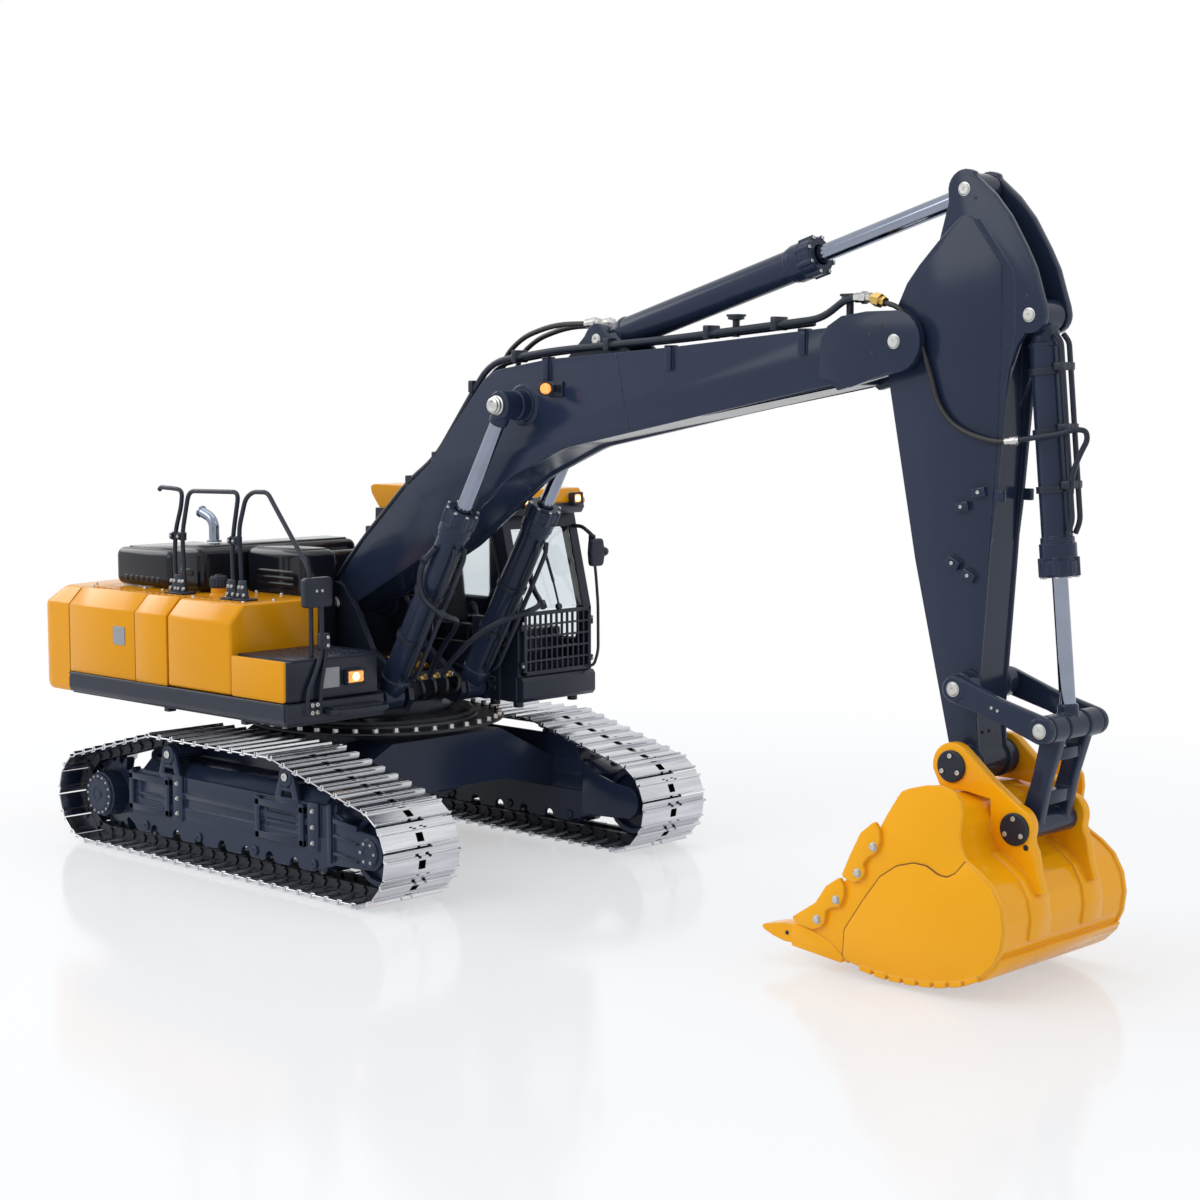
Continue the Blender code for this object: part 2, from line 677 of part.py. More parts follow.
# Cab: a hollow shell with window openings, its roof, guard, glass and seat
def make_cab():
    low = deck_top + fit_gap
    side = [(cab_rear, low), (cab_front, low), (cab_front, cab_sill), (cab_front - 16, cab_top), (cab_rear + 4, cab_top)]
    room = [(cab_rear + cab_wall, low + cab_wall), (cab_front - cab_wall, low + cab_wall),
            (cab_front - cab_wall, cab_sill), (cab_front - 16 - cab_wall, cab_top - cab_wall),
            (cab_rear + 4 + cab_wall, cab_top - cab_wall)]
    cab = plate("cab_frame", side, cab_inner, cab_outer)
    fuse(cab, box("cab_toe", (deck_front + fit_gap, cab_inner, cab_floor), (cab_front, cab_outer, low + 2), 2.0))
    carve(cab, plate("cab_room", room, cab_inner + cab_wall, cab_outer - cab_wall))
    rear_pane = [(cab_rear + 12, cab_sill), (-12, cab_sill), (-12, cab_top - 9), (cab_rear + 14, cab_top - 9)]
    door_pane = [(-2, cab_sill - 22), (cab_front - 10, cab_sill - 22), (cab_front - 10, cab_sill),
                 (cab_front - 25, cab_top - 9), (-2, cab_top - 9)]
    for pane in (rear_pane, door_pane):
        carve(cab, plate("side_opening", rounded(pane, 5.0, 2), cab_inner - 2, cab_outer + 2))
    front = box("front_opening", (cab_front - 34, cab_inner + 7, low + 8), (cab_front + 4, cab_outer - 7, cab_top - 10))
    back = box("back_opening", (cab_rear - 2, cab_inner + 10, cab_sill + 2), (cab_rear + 12, cab_outer - 10, cab_top - 12))
    carve(cab, front, back)
    finish(cab, upper, black_paint)

    roof_low = cab_top + fit_gap
    roof = [(cab_rear - 3, roof_low), (cab_front - 10, roof_low), (cab_front - 6, roof_low + 7),
            (cab_front - 14, roof_low + roof_thick), (cab_rear, roof_low + roof_thick - 2), (cab_rear - 4, roof_low + 8)]
    finish(plate("cab_roof", roof, cab_inner - 1, cab_outer + 1), upper, amber_paint)

    columns = 7
    rows = 4
    edge = 3.0
    bar = 1.5
    left, right, bottom, top = cab_inner + 3, cab_outer - 3, low + 1, cab_sill + 1
    cell = (right - left - 2 * edge + bar) / columns
    row = (top - bottom - 2 * edge + bar) / rows
    gaps = []
    for n in range(columns):
        for k in range(rows):
            y = left + edge + n * cell
            z = bottom + edge + k * row
            gaps.append([(y, z), (y + cell - bar, z), (y + cell - bar, z + row - bar), (y, z + row - bar)])
    guard = [(left, bottom), (right, bottom), (right, top), (left, top)]
    finish(plate("cab_guard", guard, cab_front + fit_gap, cab_front + 2.3, "YZ", gaps), upper, black_paint)

    lean = (cab_top - cab_sill) / 16
    glass = [(cab_front - 2.5, cab_sill + 2), (cab_front - 1.3, cab_sill + 2)]
    rise = cab_top - 11 - cab_sill - 2
    glass += [(x - rise / lean, cab_top - 11) for x, z in glass[::-1]]
    finish(plate("front_window", glass, cab_inner + 7 + fit_gap, cab_outer - 7 - fit_gap), upper, clear_glass)

    floor = low + cab_wall + fit_gap
    seat = box("operator_seat", (-20, 68, floor), (18, 100, floor + 22), 3.0)
    back_rest = [(-26, floor + 14), (-14, floor + 14), (-20, floor + 66), (-28, floor + 66)]
    fuse(seat, plate("back_rest", back_rest, 69, 99))
    finish(seat, upper, seat_foam)


make_cab()


# What drives it: pump and its motor, battery, valve block and swing motor
def make_drive():
    low = deck_top + fit_gap
    foot = box("pump_motor", (-134, -52, low), (-82, -16, low + 10), 1.0)
    fuse(foot, drum("motor_can", (-150, -34, low + 20), (-90, -34, low + 20), 17.0, 20))
    fuse(foot, drum("pump_head", (-92, -34, low + 20), (-72, -34, low + 20), 11.0, 16))
    finish(foot, upper, motor_can)
    finish(box("battery", (-150, 14, low), (-74, 52, low + 44), 2.0), upper, battery_wrap)
    valves = box("valve_block", (4, -15, low), (30, 15, low + 16), 1.0)
    for n in range(5):
        fuse(valves, drum("valve_port", (26, -12 + 6 * n, low + 8), (36, -12 + 6 * n, low + 8), 2.0, 8))
    finish(valves, upper, brass)
    swing = drum("swing_motor", (-46, 0, low), (-46, 0, low + 34), 10.0, 14)
    fuse(swing, drum("gear_head", (-46, 0, low), (-46, 0, low + 12), 13.0, 14))
    finish(swing, upper, motor_can)


make_drive()


# Hydraulic cylinders: a bored barrel that swings on its base pin and a rod that slides in it
def make_cylinder(label, base, end, y, carrier, size, barrel_eye, rod_eye, barrel_pin):
    run = Vector((end[0] - base[0], 0.0, end[1] - base[1]))
    along = run.normalized()
    start = Vector(at_pin(base, y))
    bore = size["rod"] + 0.4
    gland = size["barrel"] + 1.4
    length = size["length"]
    swing = joint(f"{label}_barrel_swing", carrier, start)
    profile = [(0.0, length - size["bore"]), (bore, length - size["bore"]), (bore, length), (gland - 1.5, length),
               (gland, length - 1.5), (gland, length - 13), (size["barrel"], length - 13), (size["barrel"], 16.0),
               (size["barrel"] - 2, 5.0), (0.0, 5.0)]
    barrel = turned(f"{label}_barrel", profile, start, along, 12)
    fuse(barrel, cross_drum("base_eye", base, barrel_eye[0], barrel_eye[1], 12, y))
    fuse(barrel, cross_drum("base_pin", base, barrel_pin[0], barrel_pin[1], 10, y))
    finish(barrel, swing, navy_paint)
    slide = joint(f"{label}_rod_slide", swing, start + along * run.length)
    reach = run.length
    rod_profile = [(0.0, reach), (size["rod"], reach), (size["rod"], length - rod_tail), (0.0, length - rod_tail)]
    rod = turned(f"{label}_rod", rod_profile, start, along, 12)
    fuse(rod, cross_drum("rod_eye", end, rod_eye[0], rod_eye[1], 12, y))
    finish(rod, slide, chrome)
    return slide


for label, side in (("left", 1), ("right", -1)):
    make_cylinder(f"{label}_boom", boom_base_pin, boom_rod_pin, side * cylinder_y, upper, boom_cylinder,
                  (8.0, 8.0), (6.0, 8.5), (14.2, 3.0))
make_cylinder("stick", stick_base_pin, stick_rod_pin, 0.0, boom_joint, stick_cylinder, (8.0, 9.0), (8.0, 8.5),
              (12.6, 3.0))
make_cylinder("bucket", bucket_base_pin, rod_end_pin, 0.0, stick_joint, bucket_cylinder, (7.8, 8.0),
              (knuckle_half, 7.0), (13.4, 3.0))


# Boom: a cranked box with a foot, a forked tip, cylinder bosses and the ears of the stick cylinder
def make_boom():
    outline = arc(boom_foot, 12, 235, 130, 5)
    outline += [(12, 201), (54, 237), (76, 252)]
    outline += rounded([(76, 252), (130, 309), (181, 316)], 30, 4, closed=False)[1:]
    outline += [(279, 322), (391, 331), (410, 336)]
    outline += arc(stick_pin, 15.5, 100, -80, 5)
    outline += [(395, 298), (391, 301)]
    outline += rounded([(391, 301), (193, 264), (146, 245), (80, 199)], 60, 3, closed=False)[1:]
    boom = plate("boom", outline, -boom_half, boom_half)
    fuse(boom, cross_drum("foot_pin", boom_foot, boom_half + 6.5, 5.0))
    tip = [(386, 304), (386, 327), (412, 333)] + arc(stick_pin, 13.5, 95, -75, 4) + [(410, 305)]
    ears = [(192, 314), (234, 316), (226, 331)] + arc(stick_base_pin, 9, 20, 160, 4) + [(200, 327)]
    for face in (-1, 1):
        low, high = sorted((face * (boom_half - 0.5), face * (boom_half + 1.2)))
        fuse(boom, plate("tip_plate", tip, low, high))
        low, high = sorted((face * 9.2, face * 12.4))
        fuse(boom, plate("cylinder_ear", ears, low, high, "XZ", [circle(stick_base_pin, 3.3, 10)]))
        boss_low, boss_high = sorted((face * (boom_half - 1), face * (cylinder_y - 6.4)))
        fuse(boom, drum("rod_boss", at_pin(boom_rod_pin, boss_low), at_pin(boom_rod_pin, boss_high), 9.0, 12))
    carve(boom, box("stick_slot", (398, -fork_inner, 280), (470, fork_inner, 360)))
    carve(boom, cross_drum("stick_bore", stick_pin, boom_half + 5, 5.3))
    finish(boom, boom_joint, navy_paint)


make_boom()


# Stick: a tapered box, forked at the top, with two curved plates that carry the bucket cylinder
def make_stick():
    outline = arc(stick_rod_pin, 10, 215, 55, 4)
    outline += [(488, 386), (491, 359), (490, 275), (486, 214), (480, 133)]
    outline += arc(bucket_pin, 10, 50, -190, 5)
    outline += [(441, 212), (423, 304), (428, 340), (436, 353), (453, 374)]
    bores = (circle(stick_pin, 4.0), circle(rocker_pin, 3.8, 12), circle(bucket_pin, 4.3, 12))
    stick = plate("stick", outline[::-1], -stick_half, stick_half, "XZ", bores[1:])
    mouth = [(440, 385), (468, 384), (480, 392), (484, 420), (440, 420)]
    carve(stick, plate("rod_slot", mouth, -knuckle_half - 0.6, knuckle_half + 0.6))
    fuse(stick, cross_drum("stick_pivot", stick_pin, boom_half + 4.5, 5.0))
    fuse(stick, cross_drum("stick_boss", stick_pin, fork_inner - fit_gap, 13.0))
    wing = [(474, 404), (493, 383), (507, 362), (513, 342)]
    wing = rounded(wing, 30, 2, closed=False) + arc(bucket_base_pin, 9, 10, -110, 3) + [(485, 306), (480, 380)]
    for face in (-1, 1):
        low, high = sorted((face * 8.3, face * 12.6))
        fuse(stick, plate("cylinder_wing", wing, low, high, "XZ", [circle(bucket_base_pin, 3.3, 10)]))
        low, high = sorted((face * (stick_half - 0.5), face * (arm_inner - 0.4)))
        ring = plate("rocker_boss", circle(rocker_pin, 8.0), low, high, "XZ", [circle(rocker_pin, 3.8, 12)])
        low, high = sorted((face * (stick_half - 0.5), face * (ear_inner - 0.4)))
        collar = plate("bucket_boss", circle(bucket_pin, 9.5), low, high, "XZ", [circle(bucket_pin, 4.3, 12)])
        fuse(stick, ring, collar)
    finish(stick, stick_joint, navy_paint)


make_stick()


# Rocker arms and the link that turn the bucket
def bar_outline(first, second, radius):
    lean = math.degrees(math.atan2(second[1] - first[1], second[0] - first[0]))
    return arc(first, radius, lean + 90, lean + 270, 4) + arc(second, radius, lean - 90, lean + 90, 4)


def make_linkage():
    rocker_joint = joint("rocker_swing", stick_joint, at_pin(rocker_pin))
    outline = bar_outline(rocker_pin, rod_end_pin, 7.0)
    rocker = plate("rocker", outline, arm_inner, arm_outer)
    fuse(rocker, cross_drum("rocker_axle", rocker_pin, arm_outer + 1.5, 3.5, 12))
    fuse(rocker, plate("near_arm", outline, -arm_outer, -arm_inner))
    finish(rocker, rocker_joint, navy_paint)

    link_joint = joint("link_swing", rocker_joint, at_pin(rod_end_pin))
    leg = bar_outline(rod_end_pin, link_pin, 6.0)
    link = plate("bucket_link", leg, link_inner, link_outer)
    middle = ((rod_end_pin[0] + link_pin[0]) / 2 - 1, (rod_end_pin[1] + link_pin[1]) / 2 - 8)
    fuse(link, cross_drum("link_foot", link_pin, ear_inner - 0.6, 6.5, 14))
    fuse(link, plate("near_leg", leg, -link_outer, -link_inner))
    fuse(link, cross_drum("link_web", middle, link_outer - 1, 4.0, 8))
    for face in (-1, 1):
        low, high = sorted((face * (link_inner + 1), face * (arm_inner - fit_gap)))
        fuse(link, drum("link_head", at_pin(rod_end_pin, low), at_pin(rod_end_pin, high), 7.0, 14))
    finish(link, link_joint, navy_paint)


make_linkage()


# Bucket: a bent sheet between two side plates, with ears, a lip and teeth
def make_bucket():
    back = [(461, 96), (480, 97), (496, 92), (503, 75), (526, 54), (528, 32), (514, 13), (487, 6), (446, 6), (410, 13)]
    bent = rounded(back, 14, 2, closed=False)
    bucket = plate("bucket", thickened(bent, -bucket_wall), 1 - bucket_half, bucket_half - 1)
    crown = [(463, 99), (485, 106), (500, 101), (503, 77), (515, 64.5)]
    cheek = rounded(crown, 8, 2, closed=False) + [p for p in bent if p[1] < 62] + [(402, 24), (431, 50), (452, 78)]
    ear = arc(bucket_pin, 12, 200, 40, 4) + [(505, 103)] + arc(link_pin, 11, 60, -30, 3)
    ear += [(531, 55), (520, 57), (499, 80), (497, 98), (470, 98)]
    for face in (-1, 1):
        low, high = sorted((face * (bucket_half - bucket_wall), face * bucket_half))
        fuse(bucket, plate("cheek", cheek, low, high))
        low, high = sorted((face * ear_inner, face * ear_outer))
        fuse(bucket, plate("ear", ear, low, high))
        for pin in (bucket_pin, link_pin):
            low, high = sorted((face * (ear_outer - 1), face * (ear_outer + 2)))
            fuse(bucket, drum("pin_cap", at_pin(pin, low), at_pin(pin, high), 9.0, 12))
        cutter = [(399, 27), (431, 54), (450, 78), (440, 80), (416, 54), (397, 34)]
        low, high = sorted((face * (bucket_half - 1), face * (bucket_half + 2)))
        edge = [(x + 6, z - 3) for x, z in cutter]
        fuse(bucket, plate("side_cutter", edge, low, high))
    fuse(bucket, cross_drum("bucket_axle", bucket_pin, ear_inner + 1, 4.0, 12))
    tooth = [(434, 5), (384, 12.5), (376, 14.5), (377, 17), (400, 24), (434, 17)]
    for n in range(tooth_count):
        y = (bucket_half - tooth_width / 2 - 1) * (2 * n / (tooth_count - 1) - 1)
        fuse(bucket, plate("tooth", tooth, y - tooth_width / 2, y + tooth_width / 2))
    finish(bucket, bucket_joint, bucket_paint)


make_bucket()


# Pipes that the arm carries all the way
def make_pipes():
    over = 3.4
    route = [(96, 279), (127, 312), (181, 319.5), (279, 325.5), (384, 334)]
    pipe = tube("boom_pipe", [(x, -15.5, z + over) for x, z in route], 2.4, 20.0)
    for x, z in ((150, 313), (279, 322), (376, 329.6)):
        fuse(pipe, box("pipe_clamp", (x - 3, -18.4, z + 0.8), (x + 3, -12.6, z + over + 5.5)))
    finish(pipe, boom_joint, black_paint)
    side = -stick_half - 2.4
    hose = [(445, side, 354), (454, side, 330), (456, side, 306), (468, side, 287), (494, side, 272)]
    finish(tube("stick_hose", hose, 2.0, 16.0), stick_joint, black_paint)


make_pipes()


def stand_on_origin():
    """Moves the machine so that its box is centred on the origin and stands at Z = 0."""
    bpy.context.view_layer.update()
    graph = bpy.context.evaluated_depsgraph_get()
    corners = []
    for part in parts.objects:
        if part.type == "MESH":
            shape = part.evaluated_get(graph)
            corners += [shape.matrix_world @ vertex.co for vertex in shape.data.vertices]
    low = [min(corner[n] for corner in corners) for n in range(3)]
    high = [max(corner[n] for corner in corners) for n in range(3)]
    machine.location = (-(low[0] + high[0]) / 2, -(low[1] + high[1]) / 2, -low[2])
    print("moved by", [round(v / mm, 3) for v in machine.location])
    print("box", [round((b - a) / mm, 2) for a, b in zip(low, high)])


stand_on_origin()
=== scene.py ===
import json
import math

import bmesh
import bpy
from mathutils import Matrix, Vector


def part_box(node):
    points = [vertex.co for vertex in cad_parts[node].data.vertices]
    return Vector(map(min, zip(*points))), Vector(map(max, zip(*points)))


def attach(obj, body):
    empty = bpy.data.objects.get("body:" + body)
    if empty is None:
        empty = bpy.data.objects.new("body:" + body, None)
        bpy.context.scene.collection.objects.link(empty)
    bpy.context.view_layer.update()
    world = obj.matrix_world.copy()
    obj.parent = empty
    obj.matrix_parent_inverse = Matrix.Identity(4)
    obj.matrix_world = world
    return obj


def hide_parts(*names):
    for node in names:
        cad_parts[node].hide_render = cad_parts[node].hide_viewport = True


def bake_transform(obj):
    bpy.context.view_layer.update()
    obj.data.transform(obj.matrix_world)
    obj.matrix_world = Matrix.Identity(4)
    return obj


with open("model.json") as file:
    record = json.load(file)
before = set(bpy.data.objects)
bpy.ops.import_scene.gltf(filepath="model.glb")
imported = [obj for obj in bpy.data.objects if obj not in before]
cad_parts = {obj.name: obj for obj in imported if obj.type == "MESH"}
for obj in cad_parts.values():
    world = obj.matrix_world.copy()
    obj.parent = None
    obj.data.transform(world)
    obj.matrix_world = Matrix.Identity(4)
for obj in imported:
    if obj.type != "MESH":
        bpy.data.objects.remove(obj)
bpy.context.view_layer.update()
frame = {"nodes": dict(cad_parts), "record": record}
print("frame loaded")

mm = 0.001
swingAxisX = 159.5  # mm from the box centre back to the swing axis, which the lengths below start from
upward, forward, leftward = (0, 0, 1), (1, 0, 0), (0, 1, 0)
hands = (-1, 1)
sides = (("left", 1), ("right", -1))
scene = bpy.context.scene


def at(x, y, z):
    return Vector(((x - swingAxisX) * mm, y * mm, z * mm))


def hexColour(code):
    parts = [int(code[n:n + 2], 16) / 255 for n in (1, 3, 5)]
    return tuple(p / 12.92 if p <= 0.04045 else ((p + 0.055) / 1.055) ** 2.4 for p in parts) + (1.0,)


def perMm(size):
    return 1000.0 / size  # texture scale for a feature of that many millimetres


def addObject(name, data):
    made = bpy.data.objects.new(name, data)
    scene.collection.objects.link(made)
    return made


def addNode(tree, kind, props=None, values=None, links=None):
    node = tree.nodes.new(kind)
    for key, value in (props or {}).items():
        setattr(node, key, value)
    for key, value in (values or {}).items():
        node.inputs[key].default_value = value
    for key, source in (links or {}).items():
        tree.links.new(source, node.inputs[key])
    return node


# Short forms of the nodes that most materials share; each gives the socket to link on
def noise(tree, place, size, detail, rough=0.5):
    values = {"Scale": perMm(size), "Detail": detail, "Roughness": rough}
    return addNode(tree, "ShaderNodeTexNoise", values=values, links={"Vector": place}).outputs[0]


def ranged(tree, value, low, high, first=0.0, last=1.0):
    values = {"From Min": first, "From Max": last, "To Min": low, "To Max": high}
    return addNode(tree, "ShaderNodeMapRange", values=values, links={"Value": value}).outputs[0]


def toned(tree, share, look):
    colours = {6: hexColour(look["deep"]), 7: hexColour(look["colour"])}
    return addNode(tree, "ShaderNodeMix", dict(data_type="RGBA"), colours, {0: share}).outputs[2]


def worked(tree, operation, first, second):
    return addNode(tree, "ShaderNodeMath", dict(operation=operation), links={0: first, 1: second}).outputs[0]


def bumped(tree, height, strength, depth, **normal):
    values = {"Strength": strength, "Distance": depth}
    return addNode(tree, "ShaderNodeBump", values=values, links={"Height": height, **normal}).outputs[0]


def whiteRays(tree):
    # camera, mirror and glass rays see plain white; only the light that falls on the machine is dimmer
    rays = addNode(tree, "ShaderNodeLightPath").outputs
    seen = worked(tree, "MAXIMUM", rays["Is Camera Ray"], rays["Is Glossy Ray"])
    return worked(tree, "MAXIMUM", seen, rays["Is Transmission Ray"])


def newMaterial(name):
    made = bpy.data.materials.new(name)
    made.use_nodes = True
    tree = made.node_tree
    place = addNode(tree, "ShaderNodeTexCoord").outputs["Object"]
    return made, tree, tree.nodes["Principled BSDF"], place


def finishShader(tree, shader, values, links):
    for key, value in values.items():
        shader.inputs[key].default_value = value
    for key, source in links.items():
        tree.links.new(source, shader.inputs[key])


# Camera: the photograph's own viewpoint, worked out from the machine's straight edges
cameraLook = dict(place=(0.96368, -0.95563, 0.30290), pitch=84.452, roll=0.07, yaw=43.885, lens=67.5,
                  sensor=36.0, nearest=0.01)
lensData = bpy.data.cameras.new("camera")
lensData.lens = cameraLook["lens"]
lensData.sensor_width = cameraLook["sensor"]
lensData.sensor_fit = "HORIZONTAL"
lensData.clip_start = cameraLook["nearest"]
camera = addObject("camera", lensData)
camera.location = cameraLook["place"]
camera.rotation_euler = [math.radians(cameraLook[k]) for k in ("pitch", "roll", "yaw")]
scene.camera = camera

# Studio: white sweep, one broad lamp over the right side, weaker ones in front, behind and above
studio = dict(fill=0.62, sweep="#eff4fb", lift=0.5, fadeFrom=0.4, fadeTo=0.9, dustMm=160.0, rough=0.1,
              haze=0.03, shine=0.4, reach=6.0, drop=0.0002)
softboxes = dict(
    keyBox=dict(place=(-0.5, -1.7, 1.35), aim=(0.05, 0.0, 0.15), size=(1.5, 1.2), power=14.4),
    frontBox=dict(place=(1.7, 0.5, 0.9), aim=(0.0, 0.0, 0.15), size=(1.0, 1.0), power=3.0),
    rearBox=dict(place=(-1.8, -0.35, 1.15), aim=(-0.1, 0.0, 0.15), size=(1.4, 0.7), power=9.0),
    topBox=dict(place=(-0.1, 0.2, 1.7), aim=(0.0, 0.0, 0.0), size=(1.6, 1.2), power=6.0))
scene.view_settings.view_transform = "Standard"
world = bpy.data.worlds.new("studio")
world.use_nodes = True
scene.world = world
tree = world.node_tree
tree.nodes.clear()
level = ranged(tree, whiteRays(tree), studio["fill"], 1.0)
sky = addNode(tree, "ShaderNodeBackground", values={"Color": (1, 1, 1, 1)}, links={"Strength": level})
addNode(tree, "ShaderNodeOutputWorld", links={"Surface": sky.outputs[0]})
for name, box in softboxes.items():
    data = bpy.data.lights.new(name, "AREA")
    data.shape = "RECTANGLE"
    data.size, data.size_y = box["size"]
    data.energy = box["power"]
    lamp = addObject(name, data)
    lamp.location = box["place"]
    lamp.rotation_euler = (Vector(box["aim"]) - Vector(box["place"])).to_track_quat("-Z", "Y").to_euler()

# White acrylic table: smooth, so the tracks mirror softly in it, and fading to plain white further out
whiteAcrylic, tree, shader, place = newMaterial("whiteAcrylic")
dust = noise(tree, place, studio["dustMm"], 1.0)
haze = ranged(tree, dust, studio["rough"], studio["rough"] + studio["haze"])
finishShader(tree, shader, {"Base Color": hexColour(studio["sweep"]), "Specular IOR Level": studio["shine"]},
             {"Roughness": haze})
reach = addNode(tree, "ShaderNodeVectorMath", dict(operation="LENGTH"), links={0: place})
fade = addNode(tree, "ShaderNodeMapRange", dict(interpolation_type="SMOOTHSTEP"),
               {"From Min": studio["fadeFrom"], "From Max": studio["fadeTo"], "To Min": studio["lift"],
                "To Max": 1.0}, {"Value": reach.outputs["Value"]})
share = worked(tree, "MULTIPLY", fade.outputs[0], whiteRays(tree))
white = addNode(tree, "ShaderNodeEmission", values={"Color": (1, 1, 1, 1), "Strength": 1.0})
sweep = addNode(tree, "ShaderNodeMixShader", links={0: share, 1: shader.outputs[0], 2: white.outputs[0]})
tree.links.new(sweep.outputs[0], tree.nodes["Material Output"].inputs["Surface"])
floorMesh = bmesh.new()
bmesh.ops.create_grid(floorMesh, x_segments=2, y_segments=2, size=studio["reach"])
floorData = bpy.data.meshes.new("floor")
floorMesh.to_mesh(floorData)
floorMesh.free()
floorData.materials.append(whiteAcrylic)
floor = addObject("floor", floorData)
floor.location.z = -studio["drop"]
print("camera, lamps and table set")

coatLook = dict(edgeBreakupMm=3.0, hazeMm=14.0, peelDepth=0.0002, clearRough=0.08, ior=1.5)


# Sprayed enamel on steel: even colour that drifts a little from panel to panel, faint orange peel in the
# gloss, and edges painted lighter: a painted highlight, broken up by noise like thin worn coat
def sprayedEnamel(name, look):
    made, tree, shader, place = newMaterial(name)
    tone = toned(tree, noise(tree, place, look["driftMm"], 2.0), look)
    soft = addNode(tree, "ShaderNodeBevel", dict(samples=4), {"Radius": look["edgeMm"] * mm}).outputs[0]
    flat = addNode(tree, "ShaderNodeNewGeometry").outputs["Normal"]
    agree = addNode(tree, "ShaderNodeVectorMath", dict(operation="DOT_PRODUCT"), links={0: soft, 1: flat})
    # painted highlight: near every edge the colour turns to the paler edge colour whatever the light, broken
    # up by noise like worn coat
    edge = ranged(tree, agree.outputs["Value"], 0.0, look["edgeHighlight"], 0.995, 0.86)
    wear = worked(tree, "MULTIPLY", edge, noise(tree, place, coatLook["edgeBreakupMm"], 4.0))
    edgeHighlightedTone = addNode(tree, "ShaderNodeMix", dict(data_type="RGBA"), {7: hexColour(look["edge"])},
                   {0: wear, 6: tone})
    gloss = ranged(tree, noise(tree, place, coatLook["hazeMm"], 5.0, 0.6), look["gloss"],
                   look["gloss"] + look["haze"])
    # real orange peel is about 0.8 mm across; drawn at peelMm so that it shows at this size
    peel = bumped(tree, noise(tree, place, look["peelMm"], 2.0), look["peel"], coatLook["peelDepth"],
                  Normal=soft)
    finishShader(tree, shader, {"IOR": coatLook["ior"], "Specular IOR Level": look["shine"],
                                "Coat Weight": look["coat"], "Coat Roughness": coatLook["clearRough"]},
                 {"Base Color": edgeHighlightedTone.outputs[2], "Roughness": gloss, "Normal": peel})
    return made


# amber panels: a warm, full gloss
amberEnamel = sprayedEnamel("amberEnamel", dict(
    colour="#e39b08", deep="#db9305", edge="#f6cf86", driftMm=70.0, edgeMm=0.7, edgeHighlight=0.5, gloss=0.15,
    haze=0.07, peelMm=1.6, peel=0.05, shine=0.15, coat=0.05))
# bucket yellow: a brighter coat of the same kind
yellowEnamel = sprayedEnamel("yellowEnamel", dict(
    colour="#fdb313", deep="#f6aa08", edge="#fdd98c", driftMm=60.0, edgeMm=0.8, edgeHighlight=0.5, gloss=0.16,
    haze=0.08, peelMm=1.6, peel=0.06, shine=0.22, coat=0.05))
# arm and track frames: dark blue with long soft reflections
navyEnamel = sprayedEnamel("navyEnamel", dict(
    colour="#273148", deep="#222b3f", edge="#66718a", driftMm=50.0, edgeMm=0.7, edgeHighlight=0.6, gloss=0.14,
    haze=0.08, peelMm=1.4, peel=0.03, shine=0.22, coat=0.0))
# powder coat: drier and blacker than the enamel, with a finer and stronger texture
blackPowder = sprayedEnamel("blackPowder", dict(
    colour="#232a39", deep="#1d2330", edge="#5a6376", driftMm=35.0, edgeMm=0.6, edgeHighlight=0.6, gloss=0.24,
    haze=0.12, peelMm=0.9, peel=0.08, shine=0.28, coat=0.0))
# moulded ABS hood: mirror gloss with shallow sink waves and a faint painted highlight on its edges
glossAbs = sprayedEnamel("glossAbs", dict(
    colour="#181b24", deep="#12151d", edge="#464c5a", driftMm=45.0, edgeMm=1.2, edgeHighlight=0.3, gloss=0.07,
    haze=0.05, peelMm=9.0, peel=0.05, shine=0.24, coat=0.08))


# Metals: a fine directional grain from polishing or turning, and a faint stain that dulls some of it
def barMetal(name, look):
    made, tree, shader, place = newMaterial(name)
    stretch = addNode(tree, "ShaderNodeMapping", values={"Scale": look["stretch"]},
                      links={"Vector": place}).outputs[0]
    grain = noise(tree, stretch, look["grainMm"], 6.0)
    stain = noise(tree, stretch, look["stainMm"], 4.0)
    both = addNode(tree, "ShaderNodeMix", dict(data_type="FLOAT"), {0: 0.5}, {2: grain, 3: stain}).outputs[0]
    rough = ranged(tree, both, look["rough"], look["rough"] + look["spread"], 0.25, 0.75)
    soft = addNode(tree, "ShaderNodeBevel", dict(samples=4), {"Radius": look["edgeMm"] * mm}).outputs[0]
    finishShader(tree, shader, {"Metallic": 1.0},
                 {"Base Color": toned(tree, stain, look), "Roughness": rough,
                  "Normal": bumped(tree, grain, look["depth"], 0.0001, Normal=soft)})
    return made


even = (1.0, 1.0, 1.0)
# stainless shoes, polished across: bright bars with soft streaks along each
polishedShoe = barMetal("polishedShoe", dict(
    colour="#f2f3f6", deep="#93979f", stretch=(1.0, 0.08, 1.0), grainMm=0.9, stainMm=6.0, rough=0.09,
    spread=0.16, edgeMm=0.25, depth=0.25))
# hard chrome: nearly a mirror, with the faintest grinding marks
hardChrome = barMetal("hardChrome", dict(
    colour="#9aa1b1", deep="#7b8291", stretch=even, grainMm=0.7, stainMm=20.0, rough=0.07, spread=0.07,
    edgeMm=0.2, depth=0.04))
# zinc-plated screws: pale and slightly hazy
zincPlate = barMetal("zincPlate", dict(
    colour="#cfd0cd", deep="#b3b4b2", stretch=even, grainMm=0.8, stainMm=5.0, rough=0.22, spread=0.16,
    edgeMm=0.15, depth=0.15))
# turned brass: warm, with marks of the lathe tool
turnedBrass = barMetal("turnedBrass", dict(
    colour="#d3b26b", deep="#b08d4a", stretch=(0.2, 1.0, 1.0), grainMm=0.6, stainMm=6.0, rough=0.2,
    spread=0.16, edgeMm=0.2, depth=0.15))
